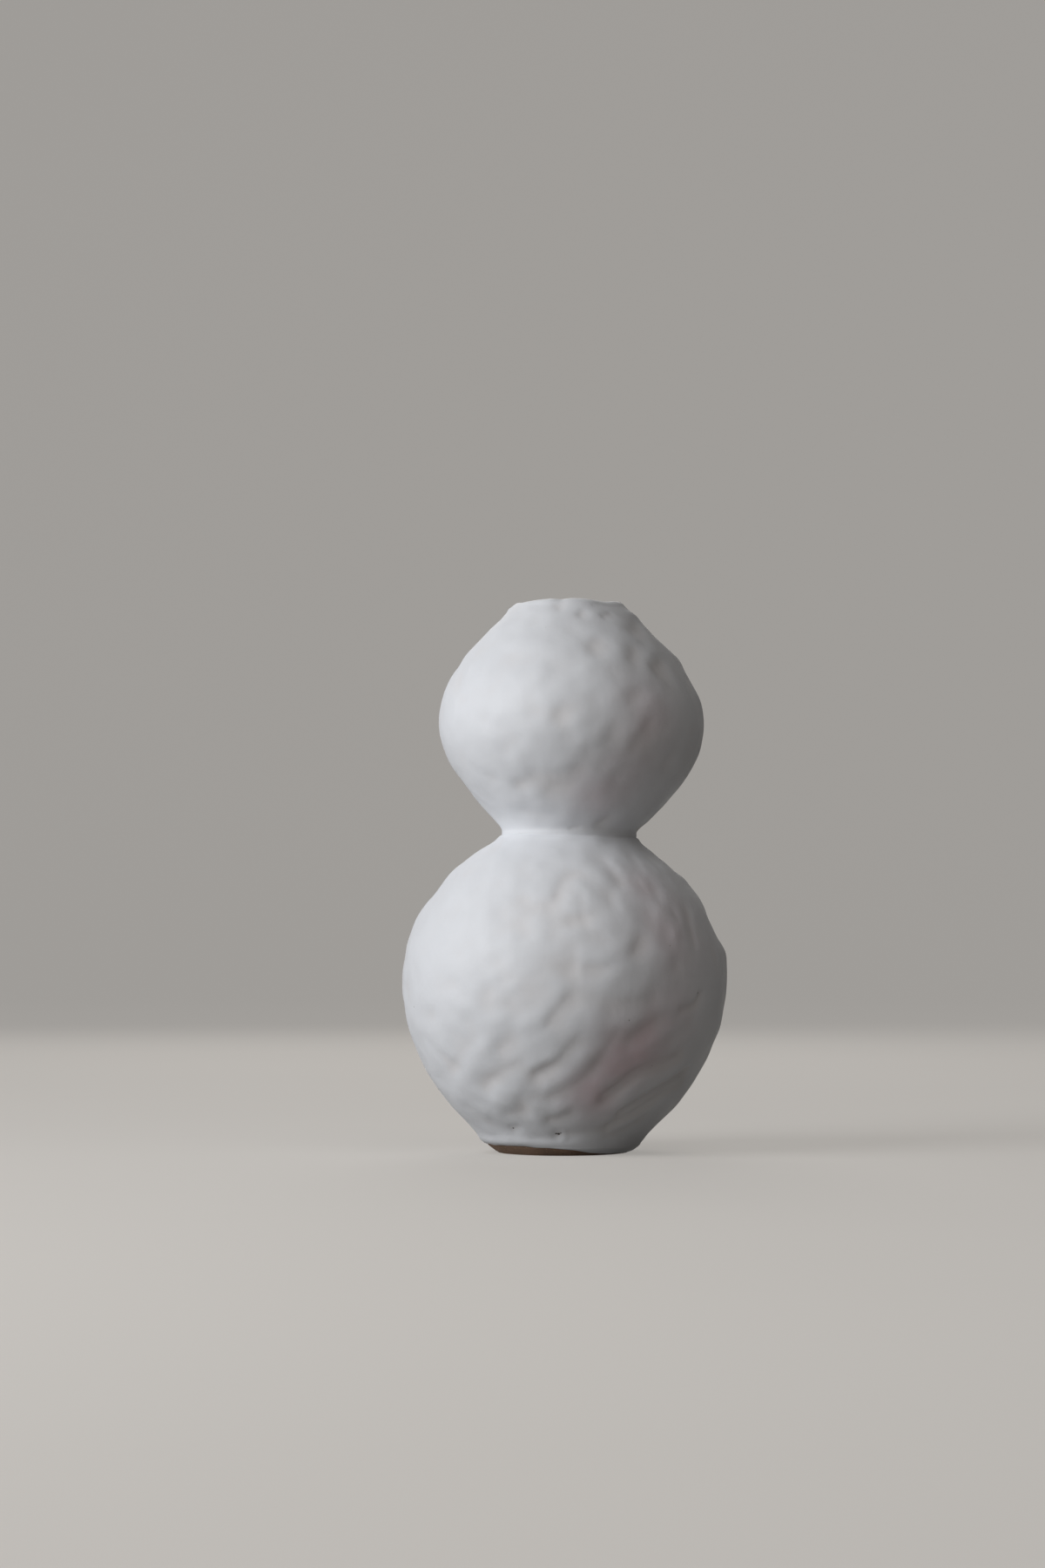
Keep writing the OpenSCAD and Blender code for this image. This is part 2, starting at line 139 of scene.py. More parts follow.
# Finger marks seen from the front. Each has its name, its path in pixels of the reference view's frame, the
# softness in mm of the upper left and of the lower right side, the depth in mm at its start (less than zero
# swells), and the share of that depth left at its end
SEEN_MARKS = (
    ("main_stroke", ((618, 1233), (630, 1227), (642, 1220), (653, 1207), (664, 1192)), 2.3, 3.9, 1.25, 0.35),
    ("short_stroke_above", ((632, 1174), (638, 1165), (652, 1149)), 2.5, 4.4, 0.75, 0.7),
    ("second_stroke",
     ((636, 1258), (650, 1252), (664, 1244), (678, 1233), (691, 1218), (700, 1203), (709, 1192)),
     2.6, 4.2, 0.80, 0.8),
    ("second_stroke_tail", ((728, 1192), (742, 1183), (757, 1173)), 2.7, 5.2, 1.05, 0.8),
    ("third_stroke", ((632, 1286), (644, 1283), (654, 1278)), 1.9, 3.4, 0.95, 0.7),
    ("third_stroke_tail",
     ((698, 1259), (711, 1249), (724, 1239), (736, 1230), (750, 1225), (766, 1221), (780, 1213)),
     2.3, 4.0, 2.10, 0.85),
    ("low_stroke", ((716, 1277), (729, 1269), (742, 1261), (757, 1252), (772, 1242), (788, 1231)),
     1.9, 3.0, 2.30, 0.9),
    ("groove_over_roll", ((655, 1301), (676, 1299), (697, 1297)), 2.4, 1.8, 0.50, 0.8),
    ("left_stroke", ((562, 1246), (576, 1235), (597, 1222)), 2.8, 4.6, 0.75, 0.8),
    ("left_stroke_above", ((574, 1204), (580, 1199), (587, 1195)), 3.0, 4.4, 0.60, 0.6),
    ("far_left_stroke", ((521, 1229), (529, 1216), (539, 1203)), 2.8, 4.4, 0.60, 0.8),
    ("left_fold", ((598, 1265), (602, 1254), (609, 1243)), 2.4, 4.0, 0.50, 0.6),
    ("left_swell", ((573, 1260), (576, 1250)), 4.6, 4.6, -0.28, 1.0),
    ("left_hollow", ((586, 1279), (594, 1278), (602, 1276)), 3.0, 2.8, 0.75, 0.9),
    ("left_foot_hollow", ((563, 1290), (567, 1280)), 2.6, 3.2, 0.42, 0.8),
    ("pit_left", ((588, 1296), (595, 1294)), 1.2, 1.6, 0.60, 0.8),
    ("pit_in_glaze", ((639, 1302), (642, 1302)), 1.3, 1.5, 0.70, 0.9),
    ("bead_in_glaze", ((647, 1307), (649, 1307)), 1.5, 1.5, -0.50, 1.0),
    ("oval_dent", ((731, 1093), (734, 1087), (737, 1081)), 3.0, 4.8, 0.88, 0.9),
    ("short_crease", ((678, 1111), (688, 1111), (698, 1110)), 2.0, 3.4, 0.48, 0.8),
    ("curved_ridge", ((641, 1027), (645, 1015), (656, 1005), (668, 1003)), 2.4, 4.2, 0.78, 0.6),
    ("ridge_dimple", ((667, 1026), (668, 1034)), 2.6, 4.0, 0.50, 0.9),
    ("dimple_below_ridge", ((658, 1057), (667, 1054)), 3.0, 4.0, 0.95, 0.9),
    ("dimple_left", ((618, 1042), (627, 1042)), 3.4, 4.8, 0.68, 0.9),
    ("valley_left_high", ((604, 1036), (603, 1066)), 3.2, 5.0, 0.56, 0.8),
    ("valley_middle", ((658, 1086), (656, 1110)), 3.4, 5.4, 0.66, 1.2),
    ("faint_ridge", ((590, 1132), (612, 1129), (638, 1122)), 1.5, 2.2, -0.14, 0.8),
    ("valley_left", ((566, 1140), (586, 1123)), 3.6, 6.0, 0.35, 0.8),
    ("dimple_shoulder", ((709, 1007), (711, 1012)), 3.2, 4.8, 0.62, 0.8),
    ("dimple_shoulder_low", ((702, 1030), (704, 1036)), 3.2, 4.6, 0.70, 0.9),
    ("dimple_shoulder_high", ((731, 986), (735, 996)), 2.6, 3.6, 0.42, 0.8),
    ("dimple_shoulder_left", ((697, 990), (701, 996)), 3.0, 4.4, 0.36, 0.8),
    ("dimple_shoulder_far", ((755, 1026), (757, 1031)), 3.2, 4.8, 0.50, 0.9),
    ("broad_shoulder", ((745, 1048), (749, 1060)), 3.8, 5.2, 0.42, 0.9),
    ("small_nick", ((775, 1046), (779, 1052)), 1.5, 2.4, 0.36, 0.8),
    ("arc_right", ((791, 1047), (793, 1061), (799, 1083)), 1.9, 3.2, 0.45, 1.3),
    ("hollow_right", ((768, 1066), (769, 1074)), 2.8, 3.6, 0.36, 0.9),
    ("swell_shoulder", ((758, 1043),), 3.0, 3.0, -0.34, 1.0),
    ("swell_shoulder_left", ((712, 1037), (716, 1040)), 2.8, 2.8, -0.28, 1.0),
    ("swell_shoulder_high", ((708, 990), (714, 996)), 2.8, 2.8, -0.26, 1.0),
    ("swell_side", ((777, 1074), (777, 1080)), 2.6, 2.6, -0.28, 1.0),
    ("swell_ridge", ((667, 1016), (674, 1030)), 2.6, 2.6, -0.22, 1.0),
    ("hollow_right_low", ((779, 1112), (784, 1122)), 3.2, 4.0, 0.50, 0.9),
    ("wide_hollow", ((704, 1151), (726, 1152), (748, 1148)), 3.2, 5.4, 0.46, 1.1),
    ("nick_right", ((786, 1159), (795, 1156), (802, 1151), (805, 1143)), 1.5, 2.6, 0.90, 1.1),
    ("lowest_stroke", ((704, 1291), (720, 1284), (736, 1275), (752, 1265), (768, 1253), (784, 1244)),
     1.9, 2.8, 1.70, 0.85),
    ("roll_stroke_right", ((699, 1304), (716, 1299), (730, 1291), (744, 1281)), 1.9, 2.6, 0.60, 1.0),
    ("high_stroke_right", ((772, 1195), (784, 1186), (795, 1174)), 2.6, 4.4, 0.45, 0.9),
    ("shoulder_scuff", ((748, 985), (756, 992)), 2.2, 3.2, 0.32, 0.9),
    ("shoulder_scuff_low", ((737, 1015), (742, 1022)), 2.2, 3.2, 0.34, 0.9),
    ("belly_scuff", ((676, 1060), (684, 1050)), 2.6, 4.0, 0.34, 0.9),
    ("belly_scuff_low", ((676, 1082), (690, 1076)), 2.8, 4.2, 0.30, 0.9),
    ("belly_scuff_left", ((634, 1075), (640, 1062)), 3.0, 4.6, 0.48, 0.9),
    ("dimple_far_right", ((822, 1096), (824, 1112)), 2.8, 3.6, 0.50, 0.9),
    ("bulb_left_high", ((657, 721), (661, 715)), 3.4, 5.0, 0.46, 0.9),
    ("bulb_high", ((683, 742), (688, 736)), 3.4, 5.4, 0.88, 0.9),
    ("bulb_high_right", ((729, 754), (731, 748)), 3.2, 4.4, 0.66, 1.0),
    ("bulb_under_rim", ((728, 724), (732, 714)), 2.6, 3.8, 0.56, 0.9),
    ("bulb_strong", ((757, 767), (761, 760)), 3.0, 4.4, 1.25, 0.9),
    ("bulb_corner", ((728, 799), (736, 794)), 3.2, 4.6, 0.42, 0.9),
    ("bulb_broad", ((708, 776), (720, 768)), 3.6, 5.0, 0.42, 0.9),
    ("bulb_middle", ((645, 818), (651, 810)), 3.6, 6.0, 0.95, 0.9),
    ("bulb_swell", ((666, 822), (672, 817)), 5.0, 5.0, -0.18, 1.0),
    ("bulb_right_of_middle", ((711, 825), (713, 820)), 4.2, 5.0, 0.46, 0.9),
    ("bulb_curl", ((680, 861), (692, 857), (701, 847)), 3.0, 4.8, 0.46, 0.8),
    ("bulb_stroke", ((733, 855), (741, 845), (747, 835)), 3.6, 5.4, 0.86, 1.2),
    ("bulb_low_left", ((598, 901), (604, 897), (610, 892)), 2.8, 4.4, 0.62, 0.8),
    ("bulb_low_middle", ((636, 893), (650, 889), (664, 884)), 3.5, 5.4, 0.90, 0.9),
    ("bulb_low_faint", ((630, 913), (638, 905)), 3.4, 5.0, 0.52, 0.9),
    ("bulb_low_right", ((711, 895), (715, 889)), 3.4, 4.8, 0.46, 0.9),
    ("bulb_far_right", ((768, 877), (776, 862)), 3.2, 4.4, 0.52, 0.9),
    ("bulb_edge", ((790, 780), (794, 794)), 2.4, 3.4, 0.50, 0.9),
    ("neck_dent_one", ((695, 706), (702, 704)), 1.5, 2.3, 0.50, 0.9),
    ("rim_nick", ((682, 692), (690, 691)), 0.7, 1.0, 0.22, 0.9),
    ("rim_nick_left", ((614, 692), (619, 691)), 0.8, 1.2, 0.20, 0.9),
    ("neck_dent_two", ((667, 704), (670, 702)), 1.6, 2.3, 0.45, 0.9),
    ("neck_dent_three", ((640, 694), (643, 696)), 1.6, 2.4, 0.26, 1.0),
    ("waist_hollow", ((692, 946), (702, 937)), 2.8, 3.6, 0.75, 0.7),
    ("waist_nick", ((657, 951), (664, 951)), 0.9, 1.3, 0.40, 0.9),
)

# Corners and hollows in the outline, most of them at the left (about 180 degrees) and the right (about
# 0 degrees): height in mm, turn in degrees, spread in mm, depth in mm (less than zero swells)
OUTLINE_MARKS = (
    (281, 186, 2.2, -1.10), (274, 183, 3.0, 0.40), (246, 182, 3.2, -0.35), (234, 182, 4.5, 0.35),
    (200, 182, 4.0, -0.10), (176, 182, 6.0, -0.25), (166.5, 182, 2.4, 0.35), (160, 182, 2.0, 0.30),
    (150.5, 182, 3.2, 0.45), (145, 183, 3.0, -0.25), (140.5, 183, 3.0, -0.35), (133.5, 182, 3.6, 0.80),
    (129, 182, 3.0, -0.20), (107.5, 182, 4.0, 0.45), (78, 182, 6.0, 0.25), (37, 182, 9.0, -0.40),
    (277, -4, 3.2, -0.95), (271, -6, 3.0, -0.35), (254, -3, 4.5, -0.75), (231, -2, 4.5, -0.65),
    (213, -3, 4.5, 0.30), (187, -3, 4.5, -0.30), (166.5, -3, 2.6, 0.50), (155, -3, 3.0, -0.50),
    (146, -3, 3.0, 0.55), (140.5, -3, 3.0, -0.45), (129, -2, 3.2, -0.35), (124.5, -2, 3.0, -0.30),
    (117.5, -2, 3.0, 0.28), (111, -2, 3.2, 0.30), (103.5, 0, 4.0, -1.00), (95, 1.5, 5.0, 0.44),
    (54, -3, 5.0, 0.35), (87.5, 181.5, 7.0, 0.15), (87, -93.5, 8.0, 0.42), (90, 88.5, 7.0, 0.38),
)
# How far they reach to either side, as a share of their spread
OUTLINE_REACH_SHARE = 2.0
# Spread in mm of the belt over the belly's widest level in which nothing stands out
WIDEST_SPREAD = 5.0
# A stroke's corners are cut off so often, each time by this share of both sides
CORNER_CUTS, CORNER_CUT_SHARE = 2, 0.25
# Length of a mark that has one point, how many of its spreads away a mark is still felt, and what keeps a
# distance from being nothing
SPOT_LENGTH, MARK_REACH_SPREADS, TINY = 0.01 * MM, 3.2, 1e-9
# Dimples on the sides and the back: half length, spread and depth in mm and tilt in radians, each from its
# least to its most, and how much softer their lower side is
DIMPLE_REACH, DIMPLE_SPREAD, DIMPLE_DEPTH = (1.0, 7.0), (2.2, 4.2), (-0.30, 0.80)
DIMPLE_TILT, DIMPLE_LOWER_SHARE = (-0.4, 1.5), 1.6
# They keep this far above the slab, and where the cosine of the angle to the front is above the first value
# there are none. From the second value down they grow to full depth over the third, from the last share
DIMPLE_FOOT = 6.0 * MM
DIMPLE_FRONT, DIMPLE_FADE_START, DIMPLE_FADE_SPAN, DIMPLE_LEAST_SHARE = 0.25, 0.1, 0.35, 0.25
# Long strokes round the back: level and rise in metres and swing round the pot in radians, each from its
# least to its most, and how they climb, as shares of the rise and the swing
STROKE_LEVEL, STROKE_RISE, STROKE_SWING = (0.010, 0.052), (0.014, 0.026), (0.25, 0.5)
STROKE_RISE_SHARES, STROKE_SWING_SHARES = (0.0, 0.38, 1.0), (0.0, 0.5, 1.0)
# Their softness above and below and their depth in mm, the turn in degrees from which they start side by
# side, and how far round their starts reach
STROKE_UPPER, STROKE_LOWER, STROKE_DEPTH = 2.3 * MM, 4.6 * MM, (0.5, 1.05)
STROKE_START, STROKE_FAN = 14.0, 126.0
# Small dents below the lip: how many, how far the cosine of the angle to the front goes, drop below the top,
# spread and depth in mm, each from its least to its most, and how much softer their lower side is
NECK_DENTS, NECK_FRONT, NECK_LOWER_SHARE = 18, -0.2, 1.4
NECK_DROP, NECK_SPREAD, NECK_DEPTH = (4.0, 9.0), (1.4, 2.2), (0.15, 0.5)
# The fine unevenness: how many waves, their shortest and longest in mm, the length in mm at which one has
# its full height, and what it gains at the back as a share
RIPPLE_WAVES, RIPPLE_LENGTHS, RIPPLE_FULL_LENGTH, RIPPLE_BACK_SHARE = 36, (7.0, 26.0), 30.0, 0.4
# Where the fine unevenness is stronger: turn, spread, and what it adds as a share
ROUGHER_TURN, ROUGHER_SPREAD, ROUGHER_SHARE = math.radians(238.0), math.radians(30.0), 0.75

# Waves round the pot in the crease's fill, the glaze line and the foot's side: how many go round, phase in
# radians, and height as a share
CREASE_WAVES = ((1.0, RIGHT_ANGLE, 0.16), (3.0, 0.8, 0.07))
LINE_WAVES = ((5.0, 1.0, 1.0), (9.0, 2.4, 1.0), (17.0, 0.0, 0.7))
FOOT_WAVES = ((3.0, 0.4, 1.0), (7.0, 1.9, 1.0), (16.0, 0.0, 0.6))
# The coat's lower edge: how suddenly it falls, the height of its waves and the share of it left where the
# edge is low, and how far it stays below the slab's top
LINE_STEEPNESS, LINE_WAVER, LINE_LEAST_SHARE, LINE_ROOM = 0.9, 0.18 * MM, 0.35, 0.1 * MM
# The roll above that edge: rise of its middle, and spread
ROLL_RISE, ROLL_SPREAD = 2.0 * MM, 1.7 * MM

# The slab foot's rings: out under it, up its side and in over its top, as shares of the radius or height
FOOT_UNDER_SHARES = np.linspace(0.02, 1.0, 56)
FOOT_SIDE_SHARES = np.linspace(0.17, 1.0, 13)
FOOT_TOP_SHARES = np.linspace(0.94, 0.1, 7)
# Softness of its lower edge, and the rings of that edge: how far out from the foot's radius and how far up,
# as shares of the softness. The flat underside ends so many softnesses inside that radius
FOOT_SOFT, FOOT_EDGE_SHARES, FOOT_FLAT_SHARE = 0.5 * MM, ((-1.0, 0.0), (-0.25, 0.2), (0.35, 0.9)), 2.0
# Height of its side's waves, how many such heights are taken off so that it doesn't grow, and how far below
# its top they fade
FOOT_WAVER, FOOT_INSET_SHARE, FOOT_FADE = 0.11 * MM, 2.6, 0.6 * MM
# Where the waves begin and the wire's cut ends, and over how much both fade, as shares of the foot's radius
WAVER_START_SHARE, CUT_END_SHARE, FOOT_FADE_SHARE = 0.9, 0.93, 0.1
# The wire's cut: depth, the distances in which the wave of its grooves and the wave of its clear and faint
# patches go on by one radian, and the phase of the patches
CUT_DEPTH, CUT_STEP, CUT_PATCH_STEP, CUT_PHASE = 0.07 * MM, 0.46 * MM, 7.0 * MM, 1.0
# How much its grooves bow, how clear they are in the middle, and how much that changes
CUT_BOW_SHARE, CUT_CLEAR_SHARE, CUT_CHANGE_SHARE = 0.35, 0.65, 0.35

# The lip, where the coat is thin: where across it, over which share of its width, and the counts and the
# phases of the two waves round it that make it patchy
THIN_MIDDLE_SHARE, THIN_SPREAD_SHARE, THIN_COUNTS, THIN_PHASES = 0.45, 0.4, (7.0, 3.0), (0.0, 1.0)
# The liner: depth and rise of the pool in its corner, its share of the fine unevenness, and its floor's rings
POOL_DEPTH, POOL_RISE, LINER_RIPPLE_SHARE = 3.0 * MM, 8.0 * MM, 0.6
LINER_FLOOR_SHARES = (0.94, 0.8, 0.6, 0.4, 0.2)
# Black pinholes, partly the clay that shows in them and partly painted shade inside them: place in pixels of
# the reference view, radius in mm
PITS = ((638.5, 1302.0, 0.75), (641.5, 1302.5, 0.95), (644.0, 1301.5, 0.5), (803.5, 1140.0, 0.45),
        (588.0, 1296.0, 0.5))
# Painted reflected light: mauve spots on the shaded side that stand for warm light bounced into the shade.
# Place in pixels of the reference view, spread in mm, strength as a share
PAINTED_BOUNCE_SPOTS = ((724, 1205, 12.0, 0.85), (686, 1254, 11.0, 0.80), (764, 1182, 14.0, 0.50), (774, 1070, 17.0, 0.42),
           (745, 1020, 10.0, 0.30), (737, 863, 13.0, 0.40), (748, 806, 11.0, 0.34), (692, 908, 11.0, 0.40))
# Painted reflected light at the back, on the side away from the key lamp: height in mm, turn in degrees,
# spread in mm, strength as a share
BACK_PAINTED_BOUNCE_SPOTS = ((60.0, 62.0, 22.0, 0.55), (205.0, 130.0, 16.0, 0.4), (118.0, 112.0, 15.0, 0.35))
# Dips of the pinched lip: turn and spread in degrees, depth in mm
LIP_DIPS = ((205, 24, 2.1), (318, 16, 1.65), (265, 40, 0.50), (262, 4, 0.50), (345, 5, 0.30), (22, 9, 0.50),
            (48, 6, 0.30), (104, 14, 0.90), (139, 6, 0.40), (165, 9, 0.60))
# Height over which those dips fade downwards, and the lip's finger marks down the inside
LIP_DIP_REACH, LIP_FADE = 9.0 * MM, 6.0 * MM

# The studio's floor: radii of its flat rings, of its flat part and of the bend, height of the wall, rings of
# the bend and columns round it
FLOOR_RADII, FLOOR_R, BEND_R, BACKDROP_H = np.array([0.4, 1.2, 2.2]), 3.2, 1.2, 0.6
BEND_RINGS, FLOOR_COLUMNS = 14, 96
# Soft lamps: name, azimuth and elevation in degrees, distance and diameter in metres, watts, colour
LAMPS = (
    ("key_soft_left", -148.0, 21.0, 1.7, 1.3, 24.0, (0.975, 0.985, 1.0)),
    ("fill_soft_back", 95.0, 34.0, 1.9, 1.2, 8.5, (1.0, 0.97, 0.93)),
    ("fill_soft_top", -60.0, 62.0, 1.8, 1.1, 3.0, (1.0, 0.96, 0.92)),
    ("fill_soft_front", -104.0, 16.0, 2.1, 0.7, 3.4, (1.0, 0.95, 0.89)),
)
# The sky: how strongly it lights, its tint, and how pale it shows, as a share of the floor's colour
SKY_STRENGTH, SKY_TINT, SKY_PALE_SHARE = 0.04, (1.0, 0.91, 0.82), 1.38
# The span that a noise texture seldom leaves
NOISE_MIDDLE = (0.3, 0.7)


def ease(t):
    """A step from 0 to 1 with level ends: three t squared less two t cubed, held outside 0 to 1."""
    t = np.clip(t, 0.0, 1.0)
    return t * t * (3.0 - 2.0 * t)


def bell(t):
    """A bell of height 1 and one spread wide: e to the power of minus half of t squared."""
    return np.exp(-0.5 * t * t)


def between(low, high, share):
    """The value that lies a share of the way from low to high."""
    return low + (high - low) * share


def turned(angle):
    """The same direction as an angle from minus pi to pi."""
    return (angle + math.pi) % FULL_TURN - math.pi


def waves(a, terms):
    """A sum of waves round the pot: share times the sine of count times a plus phase."""
    return sum(share * np.sin(count * a + phase) for count, phase, share in terms)


# A property for a length in metres, and one for a colour
Length = partial(FloatProperty, unit="LENGTH")
Colour = partial(FloatVectorProperty, subtype="COLOR", size=3, min=0.0, max=1.0)


class PotForm(PropertyGroup):
    """Sizes of the pot that its frame was built to."""
    belly_d: Length(name="Belly diameter", description="Widest diameter of the lower belly",
                    default=0.168, min=0.15, max=0.185)
    belly_h: Length(name="Belly height", description="Height of the belly's widest level",
                    default=0.089, min=0.08, max=0.098)
    waist_d: Length(name="Waist diameter", description="Diameter at the waist",
                    default=0.068, min=0.06, max=0.076)
    waist_h: Length(name="Waist height", description="Height of the waist",
                    default=0.1625, min=0.156, max=0.168)
    bulb_d: Length(name="Bulb diameter", description="Widest diameter of the upper bulb",
                   default=0.137, min=0.122, max=0.15)
    bulb_h: Length(name="Bulb height", description="Height of the bulb's widest level",
                   default=0.2205, min=0.212, max=0.228)
    mouth_d: Length(name="Mouth diameter", description="Diameter over the outer edge of the lip",
                    default=0.055, min=0.048, max=0.062)
    foot_d: Length(name="Foot diameter", description="Diameter of the circle that the vase stands on",
                   default=0.0675, min=0.058, max=0.072)
    slab_edge: Length(name="Slab edge", description="Height of the slab's upright edge",
                      default=0.0008, min=0.0004, max=0.0015)
    body_wall: Length(name="Body wall", description="Thickness of the clay wall in the belly",
                      default=0.007, min=0.005, max=0.0085)
    rim_wall: Length(name="Rim wall", description="Thickness of the clay wall at the lip",
                     default=0.0035, min=0.0025, max=0.0045)
    lip_round: Length(name="Lip rounding", description="Rise of the rounded lip above the wall",
                      default=0.0014, min=0.001, max=0.002)
    end_turn: Length(name="End turn", description="Length over which the wall's cut ends turn level",
                     default=0.012, min=0.008, max=0.016)
    glaze_t: Length(name="Glaze thickness", description="Thickness of the outside coat",
                    default=0.0006, min=0.0004, max=0.0009)
    liner_t: Length(name="Liner thickness", description="Thickness of the inside coat",
                    default=0.0006, min=0.0004, max=0.0009)
    collar_h: Length(name="Waist coil height", description="Height of the coil that closes the waist",
                     default=0.016, min=0.012, max=0.022)
    rim_h: Length(name="Rim coil height", description="Rim coil, measured up the sloping wall",
                  default=0.0154, min=0.01, max=0.02)
    belly_low_bow: FloatProperty(name="Belly bow below", default=0.98, min=0.9, max=1.2,
                                 description="1 is a parabola, more is more conical")
    belly_top_bow: FloatProperty(name="Belly bow above", default=0.9, min=0.85, max=1.2,
                                 description="1 is a parabola, more is more conical")
    bulb_low_bow: FloatProperty(name="Bulb bow below", default=1.28, min=1.0, max=1.4,
                                description="1 is a parabola, more is more conical")
    bulb_top_bow: FloatProperty(name="Bulb bow above", default=1.27, min=1.0, max=1.4,
                                description="1 is a parabola, more is more conical")
    crease: FloatProperty(name="Crease", description="Sharpness of the crease at the waist",
                          default=36.0, min=20.0, max=70.0)
    belly_shift: Length(name="Belly shift", description="Sideways shift of the belly",
                        default=0.0007, min=0.0, max=0.002)
    bulb_shift: Length(name="Bulb shift", description="Sideways shift of the bulb's underside",
                       default=0.0052, min=0.0, max=0.006)
    mouth_shift: Length(name="Mouth shift", description="Sideways shift of the mouth",
                        default=0.0028, min=0.0, max=0.006)
    bulb_back: Length(name="Bulb back", description="Shift of the bulb towards the back",
                      default=0.0012, min=0.0, max=0.003)
    oval: Length(name="Oval", description="Half the difference of the widest and narrowest radius",
                 default=0.0009, min=0.0, max=0.0015)
    lobe: Length(name="Lobe", description="Height of the three-sided swelling",
                 default=0.0004, min=0.0, max=0.0008)
    waist_tilt: Length(name="Waist tilt", description="Rise and fall of the crease at the waist",
                       default=0.0007, min=0.0, max=0.0015)
    lip_dip: Length(name="Lip dip", description="Dip of the lip below its highest point",
                    default=0.0008, min=0.0, max=0.0015)
    pinch_depth: Length(name="Pinch depth", description="Depth of the hollows pinched all round",
                        default=0.0012, min=0.0, max=0.002)
    pinch_spread: Length(name="Pinch spread", description="Spread of a pinched hollow",
                         default=0.0045, min=0.003, max=0.007)
    foot_pinch_h: Length(name="Foot pinch height", description="Height of the hollow above the foot",
                         default=0.012, min=0.01, max=0.016)
    dent_depth: Length(name="Dent depth", description="Depth of a full finger dent",
                       default=0.0015, min=0.0, max=0.002)
    dent_spread: Length(name="Dent spread", description="Spread of a full finger dent",
                        default=0.01, min=0.008, max=0.013)


class PotMarks(PropertyGroup):
    """The maker's touch: finger marks, the glaze's roll at the foot and its uneven line."""
    strength: FloatProperty(name="Strength", description="Depth of all finger marks together",
                            default=1.0, min=0.0, max=1.5, subtype="FACTOR")
    seed: IntProperty(name="Seed", description="Chooses the marks on the sides and the back",
                      default=7, min=0)
    dimples: IntProperty(name="Dimples", description="Soft dimples on the sides and the back",
                         default=190, min=0)
    strokes: IntProperty(name="Strokes", description="Long finger strokes on the sides and the back",
                         default=26, min=0)
    ripple: Length(name="Ripple", description="Height of the fine unevenness all over",
                   default=0.00006, min=0.0, max=0.0002)
    crease_fill: Length(name="Crease fill", description="Thickness of the clay wiped into the crease",
                        default=0.0016, min=0.0, max=0.004)
    crease_soft: Length(name="Crease softness", description="How far that clay reaches up and down",
                        default=0.0014, min=0.0005, max=0.004)
    roll: Length(name="Glaze roll", description="Swelling of the coat above its lower edge",
                 default=0.00055, min=0.0, max=0.001)
    line_high: Length(name="Glaze line, high", description="Highest level of the coat's lower edge",
                      default=0.0047, min=0.001, max=0.005)
    line_low: Length(name="Glaze line, low", description="Lowest level of the coat's lower edge",
                     default=0.0006, min=0.0003, max=0.004)
    line_turn: FloatProperty(name="Glaze line turn", description="Direction where the line is highest",
                             default=math.radians(190.0), subtype="ANGLE")


class StudioView(PropertyGroup):
    """The reference view: its frame in pixels, and the camera."""
    frame_w: IntProperty(name="Frame width", description="Width of the reference view",
                         default=1200, subtype="PIXEL")
    frame_h: IntProperty(name="Frame height", description="Height of the reference view",
                         default=1800, subtype="PIXEL")
    lens: FloatProperty(name="Lens", description="Focal length in mm",
                        default=89.2, min=20.0, unit="CAMERA")
    sensor: FloatProperty(name="Sensor", description="Sensor's long side in mm",
                          default=36.0, min=10.0, unit="CAMERA")
    place: FloatVectorProperty(name="Place", description="Place of the camera", size=3,
                               default=(-0.0207, -2.007, 0.122), subtype="TRANSLATION")
    pitch: FloatProperty(name="Pitch", description="How far the camera looks up",
                         default=math.radians(1.93), subtype="ANGLE")


class Finish(PropertyGroup):
    """Colours of the coats, the clay and the studio."""
    glaze: Colour(name="Glaze", description="Matte white coat", default=(0.755, 0.776, 0.814))
    # This colour is also the painted shade that darkens the hollows of the marks
    thin_glaze_and_shade: Colour(name="Thin glaze", description="Coat where it is thin or shaded warm",
                       default=(0.70, 0.655, 0.635))
    # Painted reflected light: a mauve tint that stands for warm light bounced into the shade
    warm_bounce_tint: Colour(name="Blush", description="Mauve blush in the coat", default=(0.64, 0.51, 0.545))
    liner: Colour(name="Liner", description="White coat inside", default=(0.77, 0.765, 0.75))
    foot_clay: Colour(name="Foot clay", description="Bare brown clay", default=(0.25, 0.165, 0.115))
    wall_clay: Colour(name="Wall clay", description="Clay under the coats", default=(0.33, 0.23, 0.165))
    studio: Colour(name="Studio", description="Floor and backdrop", default=(0.29, 0.279, 0.265))
    glow: FloatProperty(name="Studio glow", description="Paleness that the floor adds to its own shade",
                        default=1.1, min=0.0, max=2.0, subtype="FACTOR")


